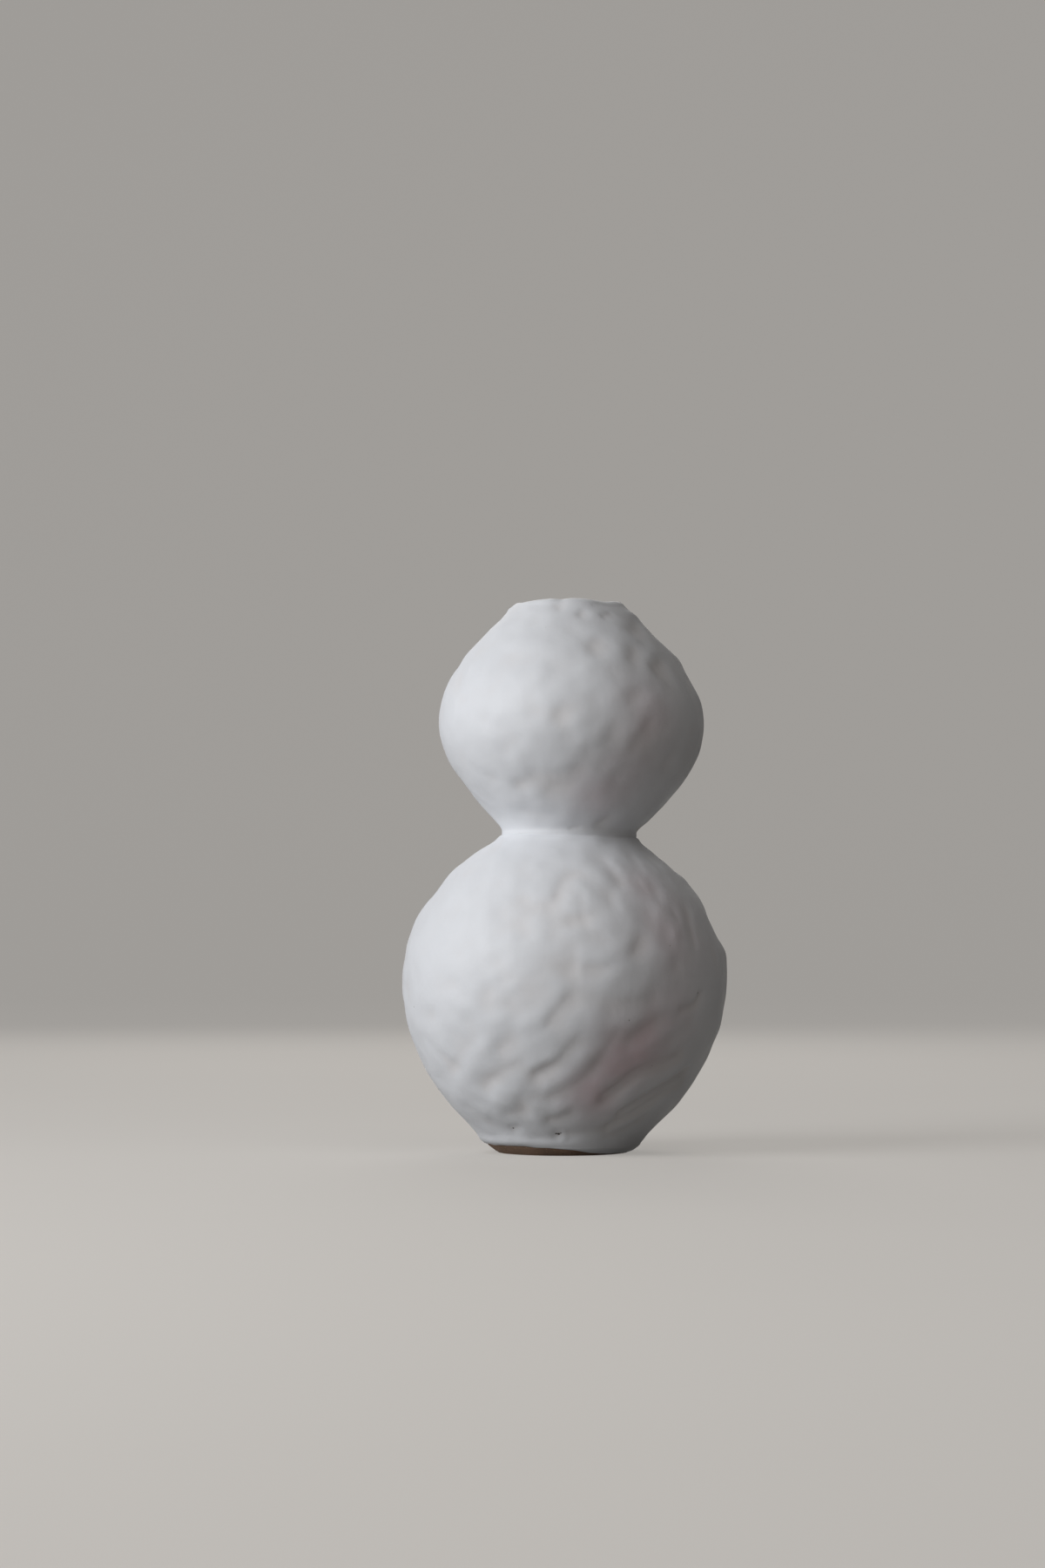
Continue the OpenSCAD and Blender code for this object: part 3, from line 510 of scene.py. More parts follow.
class Pot:
    """The pot's surfaces, as functions of the level h and the turn a."""

    def __init__(self, scene):
        self.form = scene.pot_form
        self.marks = scene.pot_marks
        self.view = scene.studio_view
        form = self.form
        self.top_h = OVERALL_H
        self.slab_t = SLAB_HIGH[2]
        self.slab_r = 0.5 * (SLAB_HIGH[0] - SLAB_LOW[0])
        self.skin_foot_r = self.slab_r + form.glaze_t
        self.wall_top = self.top_h - form.lip_round
        self.collar_base = form.waist_h - 0.5 * form.collar_h
        self.collar_top = form.waist_h + 0.5 * form.collar_h
        shoulder = self.top_h - form.bulb_h
        # The rim coil is measured up the sloping wall, so this share of its height counts upwards
        rise = shoulder / math.hypot(shoulder, 0.5 * (form.bulb_d - form.mouth_d))
        rim_base = self.top_h - form.rim_h * rise
        self.seams = (
            self.slab_t,
            *(between(self.slab_t, self.collar_base, share) for share in LOWER_SEAM_SHARES),
            self.collar_base, self.collar_top,
            *(between(self.collar_top, rim_base, share) for share in UPPER_SEAM_SHARES),
            rim_base, self.wall_top,
        )
        self.arc_h = np.linspace(0.0, self.top_h, ARC_STEPS)
        radius = self.outline(self.arc_h)
        steps = np.hypot(np.diff(self.arc_h), np.diff(radius))
        self.arc_s = np.concatenate([[0.0], np.cumsum(steps)])
        self.strokes = self.seen_strokes() + self.outline_dents() + self.scattered_strokes()

    def quarter(self, h, end_h, end_r, mid_h, mid_r, bow):
        """Radius over a quarter of the outline: end + (mid - end) (1 - u^2)^bow, with u from the middle."""
        u = np.minimum(1.0, np.abs(h - mid_h) / abs(end_h - mid_h))
        return end_r + (mid_r - end_r) * (1.0 - u * u) ** bow

    def outline(self, h):
        """Radius of the outline: belly and bulb as quarters, joined by a soft maximum in the crease."""
        form = self.form
        waist_r = 0.5 * form.waist_d
        belly_mid, bulb_mid = (form.belly_h, 0.5 * form.belly_d), (form.bulb_h, 0.5 * form.bulb_d)
        low = self.quarter(h, self.slab_t, self.skin_foot_r, *belly_mid, form.belly_low_bow)
        low_top = self.quarter(h, form.waist_h, waist_r, *belly_mid, form.belly_top_bow)
        high = self.quarter(h, form.waist_h, waist_r, *bulb_mid, form.bulb_low_bow)
        high_top = self.quarter(h, self.top_h, 0.5 * form.mouth_d, *bulb_mid, form.bulb_top_bow)
        belly = np.where(h < form.belly_h, low, np.where(h < form.waist_h, low_top, waist_r))
        bulb = np.where(h < form.waist_h, waist_r, np.where(h < form.bulb_h, high, high_top))
        power = form.crease
        return waist_r * ((belly / waist_r) ** power + (bulb / waist_r) ** power - 1.0) ** (1.0 / power)

    def slope(self, h):
        """Change of the outline's radius with the level."""
        step = SLOPE_SHARE * self.top_h
        return (self.outline(h + step) - self.outline(h - step)) / (2.0 * step)

    def arc(self, h):
        """Length of the outline from the foot up to a level."""
        return np.interp(h, self.arc_h, self.arc_s)

    def shift(self, h):
        """Sideways drift of the hand-built body, across and back."""
        form = self.form
        low = form.belly_shift * ease((h - self.slab_t) / (form.belly_h - self.slab_t))
        above = np.maximum(0.0, (h - self.collar_top) / (self.top_h - self.collar_top))
        high = between(form.bulb_shift, form.mouth_shift, above)
        over = ease(0.5 + (h - form.waist_h) / (DRIFT_SHARE * form.collar_h))
        back = ease((h - self.collar_base) / (form.bulb_h - self.collar_base))
        return between(low, high, over), form.bulb_back * back

    def lift(self, h, a):
        """How far the skin is lifted: the waist's tilt less the lip's dips."""
        form = self.form
        reach = TILT_REACH_SHARE * (form.bulb_h - form.waist_h)
        tilt = form.waist_tilt * np.cos(a - math.radians(TILT_TURN)) * bell((h - form.waist_h) / reach)
        dip_h = between(form.bulb_h, self.top_h, DIP_START_SHARE)
        turn = a - math.radians(LIP_TURN)
        dip = 0.5 * form.lip_dip * (1.0 - 0.5 * (np.cos(turn) + np.cos(3.0 * turn)))
        own = sum(depth * MM * bell(turned(a - math.radians(middle)) / math.radians(spread))
                  for middle, spread, depth in LIP_DIPS)
        near_lip = ease(1.0 - (self.top_h - h) / LIP_DIP_REACH)
        return tilt - dip * ease((h - dip_h) / (self.top_h - dip_h)) - own * near_lip

    def pinch(self, h, level):
        """A hollow pinched all round at one level, nothing at the foot."""
        spread = self.form.pinch_spread
        return bell((h - level) / spread) * ease((h - self.slab_t) / spread)

    def unevenness(self, h, a):
        """How far the skin stands out: an oval and a three-sided swelling less dents and pinches."""
        form = self.form
        radius = self.outline(h)
        out = form.oval * np.cos(2.0 * (a - math.radians(OVAL_TURN)))
        out = out + form.lobe * np.cos(3.0 * (a - math.radians(LOBE_TURN)))
        for height, turn, spread, depth in SOFT_DENT_SHARES:
            up = h - height * self.top_h
            along = radius * turned(a - math.radians(turn))
            out = out - depth * form.dent_depth * bell(np.hypot(up, along) / (spread * form.dent_spread))
        out = out * ease((h - self.slab_t) / (DENT_START_SHARE * form.end_turn)) + self.crease_fill(h, a)
        return out - form.pinch_depth * (self.pinch(h, form.foot_pinch_h) + self.pinch(h, self.collar_base))

    def crease_fill(self, h, a):
        """Clay wiped into the waist's crease: a bell over the waist's level, thicker on one side."""
        fill = self.marks.crease_fill * (1.0 + waves(a, CREASE_WAVES))
        return fill * bell((h - self.form.waist_h) / self.marks.crease_soft)

    def wall(self, h):
        """Thickness of the clay wall, thinner from the waist to the lip."""
        form = self.form
        above = (h - form.waist_h) / (self.wall_top - form.waist_h)
        return between(form.body_wall, form.rim_wall, ease(above))

    def clay_in(self, h):
        """Depth of the clay's inside under the skin."""
        return self.form.glaze_t + self.wall(h)

    def cavity(self, h):
        """Depth of the liner's surface under the skin."""
        return self.clay_in(h) + self.form.liner_t

    def on_skin(self, pixels):
        """Levels and turns of pixels of the reference view: each ray is followed from the camera to the
        first place where it is nearer to the pot's axis than the outline."""
        view = self.view
        focal = view.lens / view.sensor * view.frame_h
        pixels = np.asarray(pixels, float)
        right = (pixels[:, 0] - 0.5 * view.frame_w) / focal
        up = (0.5 * view.frame_h - pixels[:, 1]) / focal
        ahead = math.cos(view.pitch) - up * math.sin(view.pitch)
        rise = math.sin(view.pitch) + up * math.cos(view.pitch)
        widest = 0.5 * self.form.belly_d
        y = np.linspace(RAY_SHARES[0] * widest, RAY_SHARES[1] * widest, RAY_STEPS)[None, :]
        far = (y - view.place[1]) / ahead[:, None]
        x = view.place[0] + right[:, None] * far
        z = view.place[2] + rise[:, None] * far
        shift_x, shift_y = self.shift(z)
        out = np.hypot(x - shift_x, y - shift_y) - self.outline(z)
        hit = np.where((out < 0.0).any(axis=1), (out < 0.0).argmax(axis=1), out.argmin(axis=1))
        row = np.arange(len(pixels))
        turn = np.arctan2((y - shift_y)[row, hit], (x - shift_x)[row, hit])
        return z[row, hit], turn

    def stroke(self, h, a, upper, lower, depth, last=1.0):
        """A pressed stroke through its points, as a path of (along, up) on the unrolled wall about its
        middle turn, with its corners cut off."""
        h, a = np.atleast_1d(h), np.atleast_1d(a)
        middle = a[len(a) // 2]
        along = self.outline(h) * turned(a - middle)
        path = np.stack([along, self.arc(h)], axis=1)
        if len(path) == 1:
            path = np.concatenate([path, path + [[SPOT_LENGTH, 0.0]]])
        for _ in range(CORNER_CUTS if len(path) > 2 else 0):
            near = between(path[:-1], path[1:], CORNER_CUT_SHARE)
            far = between(path[:-1], path[1:], 1.0 - CORNER_CUT_SHARE)
            cut = np.stack([near, far], axis=1).reshape(-1, 2)
            path = np.concatenate([path[:1], cut[1:-1], path[-1:]])
        return middle, path, upper, lower, depth, last

    def seen_strokes(self):
        """The marks that the reference view shows."""
        strokes = []
        for _, pixels, upper, lower, depth, last in SEEN_MARKS:
            h, a = self.on_skin(pixels)
            strokes.append(self.stroke(h, a, upper * MM, lower * MM, depth * MM, last))
        return strokes

    def outline_dents(self):
        """The corners and hollows of the outline: level marks, each as long to either side as a share of
        its spread."""
        strokes = []
        for h, a, spread, depth in OUTLINE_MARKS:
            reach = OUTLINE_REACH_SHARE * spread * MM / float(self.outline(h * MM))
            ends = math.radians(a) + reach * np.array([-1.0, 1.0])
            strokes.append(self.stroke(np.full(2, h * MM), ends, spread * MM, spread * MM, depth * MM))
        return strokes

    def scattered_strokes(self):
        """Marks on the sides and the back, like those in front, all from one seeded generator."""
        rng = np.random.default_rng(self.marks.seed)
        return self.dimples(rng) + self.long_strokes(rng) + self.neck_dents(rng)

    def dimples(self, rng):
        """Short soft marks, evenly over the skin's area: reach times the tilt's cosine round the pot, and
        reach times its sine up the wall."""
        area = np.cumsum(self.outline(self.arc_h) * np.gradient(self.arc_s))
        strokes = []
        for _ in range(self.marks.dimples):
            share, turn, tilt, length, size, depth = rng.random(6)
            h = np.interp(share, area / area[-1], self.arc_h)
            a = FULL_TURN * turn
            facing = math.cos(a + RIGHT_ANGLE)
            if facing > DIMPLE_FRONT or h < self.slab_t + DIMPLE_FOOT:
                continue
            reach = between(*DIMPLE_REACH, length) * MM
            tilt = between(*DIMPLE_TILT, tilt)
            up = reach * math.sin(tilt) / math.hypot(1.0, float(self.slope(h)))
            along = reach * math.cos(tilt) / float(self.outline(h))
            spread = between(*DIMPLE_SPREAD, size) * MM
            fade = ease((DIMPLE_FADE_START - facing) / DIMPLE_FADE_SPAN)
            press = between(*DIMPLE_DEPTH, depth) * MM * between(DIMPLE_LEAST_SHARE, 1.0, fade)
            ends = np.array([h - up, h + up]), np.array([a - along, a + along])
            strokes.append(self.stroke(*ends, spread, DIMPLE_LOWER_SHARE * spread, press))
        return strokes

    def long_strokes(self, rng):
        """Long strokes that climb to the right on the lower belly, one beside another round the back."""
        count = self.marks.strokes
        strokes = []
        for k in range(count):
            low, start, width, sweep, depth = rng.random(5)
            h = between(*STROKE_LEVEL, low) + between(*STROKE_RISE, sweep) * np.array(STROKE_RISE_SHARES)
            a = math.radians(STROKE_START + STROKE_FAN * (k + start) / count)
            a = a + between(*STROKE_SWING, width) * np.array(STROKE_SWING_SHARES)
            press = between(*STROKE_DEPTH, depth) * MM
            strokes.append(self.stroke(h, a, STROKE_UPPER, STROKE_LOWER, press))
        return strokes

    def neck_dents(self, rng):
        """Small dents right below the lip, one in each of even steps round the pot."""
        strokes = []
        for k in range(NECK_DENTS):
            start, level, size, depth = rng.random(4)
            a = FULL_TURN * (k + start) / NECK_DENTS
            if math.cos(a + RIGHT_ANGLE) > NECK_FRONT:
                continue
            h = self.top_h - between(*NECK_DROP, level) * MM
            spread = between(*NECK_SPREAD, size) * MM
            press = between(*NECK_DEPTH, depth) * MM
            strokes.append(self.stroke(h, a, spread, NECK_LOWER_SHARE * spread, press))
        return strokes

    def pressed(self, h, a, stroke):
        """Depth of one stroke: a bell across the distance to its path, with one softness on the left of
        its direction and another on the right, blended round its ends. The depth changes evenly along
        the path from the start to its last share."""
        middle, path, upper, lower, depth, last = stroke
        along = self.outline(h) * turned(a - middle)
        up = self.arc(h) + 0.0 * a
        nearest = np.full(along.shape, np.inf)
        side, gone = np.zeros(along.shape), np.zeros(along.shape)
        lengths = np.hypot(*np.diff(path, axis=0).T)
        before = np.concatenate([[0.0], np.cumsum(lengths)]) / lengths.sum()
        for i, (start, end, length) in enumerate(zip(path[:-1], path[1:], lengths)):
            run = end - start
            t = np.clip(((along - start[0]) * run[0] + (up - start[1]) * run[1]) / length ** 2, 0.0, 1.0)
            off_along = along - start[0] - t * run[0]
            off_up = up - start[1] - t * run[1]
            distance = np.hypot(off_along, off_up) + TINY
            left = (run[0] * off_up - run[1] * off_along) / (length * distance)
            closer = distance < nearest
            side = np.where(closer, left, side)
            gone = np.where(closer, between(before[i], before[i + 1], t), gone)
            nearest = np.where(closer, distance, nearest)
        softness = between(lower, upper, 0.5 * (1.0 + side))
        return depth * between(1.0, last, gone) * bell(nearest / softness)

    def relief(self, h, a):
        """How deep the finger marks lie under the soft skin, for levels h (one a row) and turns a (one a
        column): all strokes less a fine ripple. Nothing stands out at the belly's widest level, so that
        the size stays."""
        heights, around = h[:, 0], a[0]
        deep = np.zeros((len(heights), len(around)))
        arcs, radii = self.arc(heights), self.outline(heights)
        for stroke in self.strokes:
            middle, path, upper, lower = stroke[:4]
            reach = MARK_REACH_SPREADS * max(upper, lower)
            rows = np.flatnonzero((arcs > path[:, 1].min() - reach) & (arcs < path[:, 1].max() + reach))
            if not len(rows):
                continue
            wide = (np.abs(path[:, 0]).max() + reach) / radii[rows].min()
            columns = np.flatnonzero(np.abs(turned(around - middle)) < wide)
            block = np.ix_(rows, columns)
            deep[block] += self.pressed(h[rows], a[:, columns], stroke)
        deep = self.marks.strength * deep - self.ripple(h, a)
        widest = bell((h - self.form.belly_h) / (WIDEST_SPREAD * MM))
        deep = np.maximum(deep, 0.0) + (1.0 - widest) * np.minimum(deep, 0.0)
        return deep * ease((h - self.slab_t) / (MARK_START_SHARE * self.form.end_turn))

    def lip_relief(self, h, a):
        """The lip's own relief, carried down the inside and fading there."""
        top = np.array([[self.seams[-1]]])
        return self.relief(top, a) * bell((self.seams[-1] - h) / LIP_FADE)

    def ripple(self, h, a):
        """Fine unevenness: a sum of plane waves through space, in seeded directions and lengths. It grows
        a little towards the back, and more towards the front left."""
        rng = np.random.default_rng(self.marks.seed + 1)
        radius = self.outline(h)
        x, y, z = radius * np.cos(a), radius * np.sin(a), h + 0.0 * a
        total = 0.0 * x
        for _ in range(RIPPLE_WAVES):
            way = rng.normal(size=3)
            way = way / np.linalg.norm(way)
            length = between(*RIPPLE_LENGTHS, rng.random()) * MM
            phase = FULL_TURN * rng.random()
            wave = np.sin(FULL_TURN * (way[0] * x + way[1] * y + way[2] * z) / length + phase)
            total += wave * length / (RIPPLE_FULL_LENGTH * MM)
        rougher = ROUGHER_SHARE * bell(turned(a - ROUGHER_TURN) / ROUGHER_SPREAD)
        return self.marks.ripple * (1.0 + RIPPLE_BACK_SHARE * np.sin(a) + rougher) * total

    def glaze_line(self, a):
        """Level of the coat's lower edge: high on one side, low on the other, and wavering."""
        marks = self.marks
        share = ease(0.5 + LINE_STEEPNESS * np.cos(a - marks.line_turn))
        waver = LINE_WAVER * waves(a, LINE_WAVES) * between(LINE_LEAST_SHARE, 1.0, share)
        line = between(marks.line_low, marks.line_high, share) + waver
        return np.clip(line, 0.5 * marks.line_low, self.slab_t - LINE_ROOM)

    def side(self, z):
        """Radius of the slab's side: its bevel, with the upper corner worn round by a soft minimum."""
        foot_r = 0.5 * self.form.foot_d
        bevel = between(foot_r, self.slab_r, z / (self.slab_t - self.form.slab_edge))
        return 0.5 * (bevel + self.slab_r) - 0.5 * np.hypot(bevel - self.slab_r, SLAB_CORNER)

    def roll(self, h, a):
        """Swelling of the coat above its lower edge: a bell one roll's rise above the line."""
        return self.marks.roll * bell((h - self.glaze_line(a) - ROLL_RISE) / ROLL_SPREAD)

    def under_skin(self, h, a, depth, relief):
        """A point under the skin: square to it at that depth, turned level towards the foot and the lip.
        The relief goes in along the same direction."""
        slope = self.slope(h)
        norm = np.hypot(1.0, slope)
        level = 1.0 - ease(np.minimum(h - self.slab_t, self.wall_top - h) / self.form.end_turn)
        total = depth + relief
        in_step = -total / norm * (1.0 - level) - total * norm * level
        up_step = total * slope / norm * (1.0 - level)
        radius = self.outline(h) + self.unevenness(h, a) + in_step
        shift_x, shift_y = self.shift(h)
        x = shift_x + radius * np.cos(a)
        y = shift_y + radius * np.sin(a)
        z = h + self.lift(h, a) + up_step
        return np.stack([x, y, z + 0.0 * x], axis=-1)


def turns(columns):
    """One row of evenly spaced turns, the whole way round."""
    return np.linspace(0.0, FULL_TURN, columns, endpoint=False)[None, :]


def levels(pot, rows, first=0, last=len(COURSES)):
    """Levels between two seams, rows for each step of a course, without repeats, as a column."""
    parts = [np.linspace(pot.seams[i], pot.seams[i + 1], rows * COURSES[i][1] + 1)[:-1]
             for i in range(first, last)]
    return np.concatenate(parts + [[pot.seams[last]]])[:, None]


def ring(radius, a, z):
    """A ring of points at the turns a, whose radius and height may change with the turn."""
    return np.stack([radius * np.cos(a), radius * np.sin(a), z + 0.0 * a], axis=-1)


def lip_rows(outer, inner, rise):
    """Rings of the rounded lip: from the outer to the inner edge, lifted by rise times sin(pi share)."""
    return [between(outer, inner, share) + [0.0, 0.0, rise * math.sin(math.pi * share)]
            for share in LIP_SHARES]


def bridge(first_a, count_a, first_b, count_b):
    """Faces between ring a and ring b, the whole way round: quads where both have as many points, and
    fans of triangles where one has three times as many."""
    count = min(count_a, count_b)
    k = np.arange(count)
    after = (k + 1) % count
    if count_a == count_b:
        return np.stack([first_a + k, first_a + after, first_b + after, first_b + k], axis=1).tolist()
    fine = [(3 * k + step) % (3 * count) for step in range(4)]
    if count_a > count_b:
        a, b, b_after = [first_a + f for f in fine], first_b + k, first_b + after
        fans = ((a[0], a[1], b), (a[1], a[2], b), (a[2], b_after, b), (a[2], a[3], b_after))
    else:
        b, a, a_after = [first_b + f for f in fine], first_a + k, first_a + after
        fans = ((a, b[1], b[0]), (a, b[2], b[1]), (a, a_after, b[2]), (a_after, b[3], b[2]))
    return np.concatenate([np.stack(fan, axis=1) for fan in fans]).tolist()


def wrapped(rings, closed, centres=()):
    """Points and faces of rings joined each to the next. A closed wrap joins the last to the first, and an
    open one is closed by a fan to the first centre below and to the second centre above."""
    starts = np.concatenate([[0], np.cumsum([len(row) for row in rings])])
    faces = []
    for i in range(len(rings) - 1):
        faces += bridge(starts[i], len(rings[i]), starts[i + 1], len(rings[i + 1]))
    if closed:
        faces += bridge(starts[len(rings) - 1], len(rings[-1]), 0, len(rings[0]))
        return np.concatenate(rings), faces
    k = np.arange(len(rings[0]))
    low = np.full_like(k, starts[-1])
    faces += np.stack([low, (k + 1) % len(k), k], axis=1).tolist()
    k = np.arange(len(rings[-1]))
    high, start = np.full_like(k, starts[-1] + 1), starts[-2]
    faces += np.stack([high, start + k, start + (k + 1) % len(k)], axis=1).tolist()
    return np.concatenate([*rings, np.asarray(centres, float)]), faces


def smooth(name, material, points, faces, attributes=None):
    """A smooth mesh as an object at the origin."""
    mesh = bpy.data.meshes.new(name)
    mesh.from_pydata(points.tolist(), [], faces)
    mesh.polygons.foreach_set("use_smooth", np.ones(len(mesh.polygons), bool))
    for key, values in (attributes or {}).items():
        layer = mesh.attributes.new(key, "FLOAT", "POINT")
        layer.data.foreach_set("value", np.ascontiguousarray(values, np.float32))
    mesh.materials.append(material)
    mesh.update()
    if mesh.validate():
        raise RuntimeError(name + " had broken faces")
    made = bpy.data.objects.new(name, mesh)
    bpy.context.scene.collection.objects.link(made)
    return made


def publish(name, node, material, points, faces, attributes=None):
    """A finished piece, which stands for a node of the frame."""
    piece = smooth(name, material, points, faces, attributes)
    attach(piece, BODY)
    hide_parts(node)


def shade(colour, share):
    """A colour made darker or paler: share times each of its parts, and 1 at most."""
    return tuple(min(1.0, share * part) for part in colour)


class Nodes:
    """A short way to write the nodes of a material or the world."""

    def __init__(self, owner):
        owner.use_nodes = True
        self.tree = owner.node_tree
        self.tree.nodes.clear()

    def add(self, kind, **settings):
        """A new node with its settings."""
        node = self.tree.nodes.new(kind)
        for key, value in settings.items():
            setattr(node, key, value)
        return node

    def put(self, value, target):
        """Another node's output is linked to an input, and a plain value is written into it."""
        if isinstance(value, bpy.types.NodeSocket):
            self.tree.links.new(value, target)
        else:
            target.default_value = value

    def fill(self, node, values):
        """Puts values into a node's inputs, by name or place."""
        for key, value in values.items():
            self.put(value, node.inputs[key])

    def math(self, operation, first, second):
        """One operation on two values."""
        node = self.add("ShaderNodeMath", operation=operation)
        self.fill(node, {0: first, 1: second})
        return node.outputs["Value"]

    def times(self, first, second):
        """The product of two values."""
        return self.math("MULTIPLY", first, second)

    def ramp(self, value, low, high, start=0.0, end=1.0):
        """A soft step from start to end as the value goes from low to high."""
        node = self.add("ShaderNodeMapRange", interpolation_type="SMOOTHSTEP")
        self.fill(node, {"Value": value, "From Min": low, "From Max": high, "To Min": start, "To Max": end})
        return node.outputs["Result"]

    def seen(self):
        """1 for camera, gloss and transmission rays, and 0 for the rest."""
        path = self.add("ShaderNodeLightPath").outputs
        either = self.math("MAXIMUM", path["Is Camera Ray"], path["Is Glossy Ray"])
        return self.math("MAXIMUM", either, path["Is Transmission Ray"])


class Coating(Nodes):
    """The nodes of one material round a principled shader. Scales are features in a metre."""

    def __init__(self, name):
        self.material = bpy.data.materials.get(name) or bpy.data.materials.new(name)
        super().__init__(self.material)
        self.shader = self.add("ShaderNodeBsdfPrincipled")
        output = self.add("ShaderNodeOutputMaterial")
        self.put(self.shader.outputs["BSDF"], output.inputs["Surface"])
        self.space = self.add("ShaderNodeTexCoord").outputs["Object"]

    def noise(self, scale, detail=2.0, roughness=0.5):
        """Cloudy noise through the object's space."""
        node = self.add("ShaderNodeTexNoise")
        self.fill(node, {"Vector": self.space, "Scale": scale, "Detail": detail, "Roughness": roughness})
        return node.outputs["Fac"]

    def patches(self, scale, detail, least=0.0, most=1.0):
        """Noise as soft patches from least to most."""
        return self.ramp(self.noise(scale, detail), *NOISE_MIDDLE, least, most)

    def specks(self, scale, near, far, rare, sure):
        """Round specks: 1 up to near from the middle of a cell and 0 from far on, and only in the cells
        whose random value is above rare, fully from sure on."""
        node = self.add("ShaderNodeTexVoronoi")
        self.fill(node, {"Vector": self.space, "Scale": scale})
        spot = self.ramp(node.outputs["Distance"], near, far, start=1.0, end=0.0)
        return self.times(spot, self.ramp(node.outputs["Color"], rare, sure))

    def away(self, place):
        """How far the surface lies from a place in the object's space."""
        node = self.add("ShaderNodeVectorMath", operation="DISTANCE")
        self.fill(node, {0: self.space, 1: tuple(place)})
        return node.outputs["Value"]

    def attribute(self, name):
        """A value that the mesh carries at its points."""
        return self.add("ShaderNodeAttribute", attribute_name=name).outputs["Fac"]

    def mix(self, share, first, second):
        """The colour that lies a share of the way from the first to the second."""
        node = self.add("ShaderNodeMix", data_type="RGBA")
        colours = [value if isinstance(value, bpy.types.NodeSocket) else (*value, 1.0)
                   for value in (first, second)]
        for key, value in zip(("Factor", "A", "B"), (share, *colours)):
            self.put(value, next(s for s in node.inputs if s.name == key and s.enabled))
        return next(s for s in node.outputs if s.enabled)

    def tinted(self, colour, share, other, most):
        """The colour, changed towards another by the share times the most that it may change."""
        return self.mix(self.times(share, most), colour, other)

    def bump(self, height, distance, below=None):
        """A normal bent by a height of so many metres, over another bump's where there is one."""
        node = self.add("ShaderNodeBump")
        self.fill(node, {"Height": height, "Distance": distance, "Strength": 1.0})
        if below is not None:
            self.put(below, node.inputs["Normal"])
        return node.outputs["Normal"]

    def finished(self, values):
        """The material, with these values put into its shader."""
        self.fill(self.shader, values)
        return self.material


def glaze_material(finish, pits):
    """Matte white glaze: cloudy cool white, warmer where it is thin, with painted shade in the hollows of the
    marks, a painted mauve reflection of warm light in spots on the shaded side, rare pinholes and a few black
    pits (places and radii) painted partly in the clay's colour and partly as painted shade, and a soft
    orange-peel surface."""
    made = Coating("matte_white_glaze")
    cloud = made.ramp(made.noise(scale=22.0, detail=3.0), low=0.35, high=0.7)
    colour = made.mix(cloud, finish.glaze, shade(finish.glaze, share=0.965))
    # Painted shade: the deeper a mark's hollow, the more the coat turns to the darker, warmer thin-glaze
    # colour
    hollow = made.ramp(made.attribute("hollow"), low=0.0, high=1.1, end=0.34)
    colour = made.mix(hollow, colour, finish.thin_glaze_and_shade)
    thin = made.ramp(made.attribute("thin"), low=0.0, high=1.0, end=0.55)
    colour = made.mix(thin, colour, finish.thin_glaze_and_shade)
    # Painted reflected light: mauve in soft spots where warm light would bounce into the shade
    warm_bounce_tint = made.times(made.attribute("warm_bounce_tint"), made.patches(scale=38.0, detail=2.0, least=0.45))
    colour = made.mix(warm_bounce_tint, colour, finish.warm_bounce_tint)
    colour = made.tinted(colour, made.patches(scale=900.0, detail=2.0), finish.thin_glaze_and_shade, most=0.05)
    # Pinholes and pits: partly the clay that shows in them, and partly painted shade inside them, darker than
    # the clay
    hole = made.specks(scale=150.0, near=0.03, far=0.055, rare=0.84, sure=0.86)
    colour = made.tinted(colour, hole, shade(finish.wall_clay, share=0.5), most=0.65)
    for place, radius in pits:
        pit = made.ramp(made.away(place), low=0.55 * radius, high=radius, start=1.0, end=0.0)
        colour = made.tinted(colour, pit, shade(finish.wall_clay, share=0.12), most=0.95)
        hole = made.math("MAXIMUM", hole, pit)
    peel = made.bump(made.noise(scale=130.0), distance=0.18 * MM)
    grain = made.bump(made.noise(scale=1300.0, detail=1.0), distance=0.02 * MM, below=peel)
    pitted = made.bump(made.math("SUBTRACT", 1.0, hole), distance=0.3 * MM, below=grain)
    rough = made.patches(scale=60.0, detail=3.0, least=0.56, most=0.68)
    return made.finished({"Base Color": colour, "Roughness": rough, "Normal": pitted,
                          "Specular IOR Level": 0.38})


def liner_material(finish):
    """White liner glaze: a little glossier than the outside, with soft pooling."""
    made = Coating("white_liner_glaze")
    cloud = made.ramp(made.noise(scale=30.0, detail=3.0), low=0.35, high=0.7)
    colour = made.mix(cloud, finish.liner, shade(finish.liner, share=0.94))
    peel = made.bump(made.noise(scale=120.0), distance=0.25 * MM)
    rough = made.patches(scale=70.0, detail=2.0, least=0.34, most=0.46)
    return made.finished({"Base Color": colour, "Roughness": rough, "Normal": peel})


def clay_material(name, base, grit):
    """Dry stoneware: patchy brown with pale grog, dark iron specks that are sunk in, and a gritty surface,
    whose height follows grit."""
    made = Coating(name)
    sunk_share = 0.6
    patch = made.ramp(made.noise(scale=45.0, detail=4.0, roughness=0.6), *NOISE_MIDDLE)
    colour = made.mix(patch, shade(base, share=0.78), shade(base, share=1.22))
    grog = made.specks(scale=620.0, near=0.18, far=0.30, rare=0.62, sure=0.7)
    colour = made.tinted(colour, grog, shade(base, share=1.9), most=0.5)
    iron = made.specks(scale=430.0, near=0.14, far=0.24, rare=0.72, sure=0.78)
    colour = made.tinted(colour, iron, shade(base, share=0.35), most=0.7)
    coarse = made.bump(made.noise(scale=260.0, detail=4.0, roughness=0.6), distance=0.4 * MM * grit)
    sanded = made.math("SUBTRACT", made.noise(scale=1500.0), made.times(iron, sunk_share))
    gritty = made.bump(sanded, distance=0.15 * MM * grit, below=coarse)
    rough = made.patches(scale=90.0, detail=2.0, least=0.82, most=0.94)
    return made.finished({"Base Color": colour, "Roughness": rough, "Normal": gritty,
                          "Specular IOR Level": 0.25})


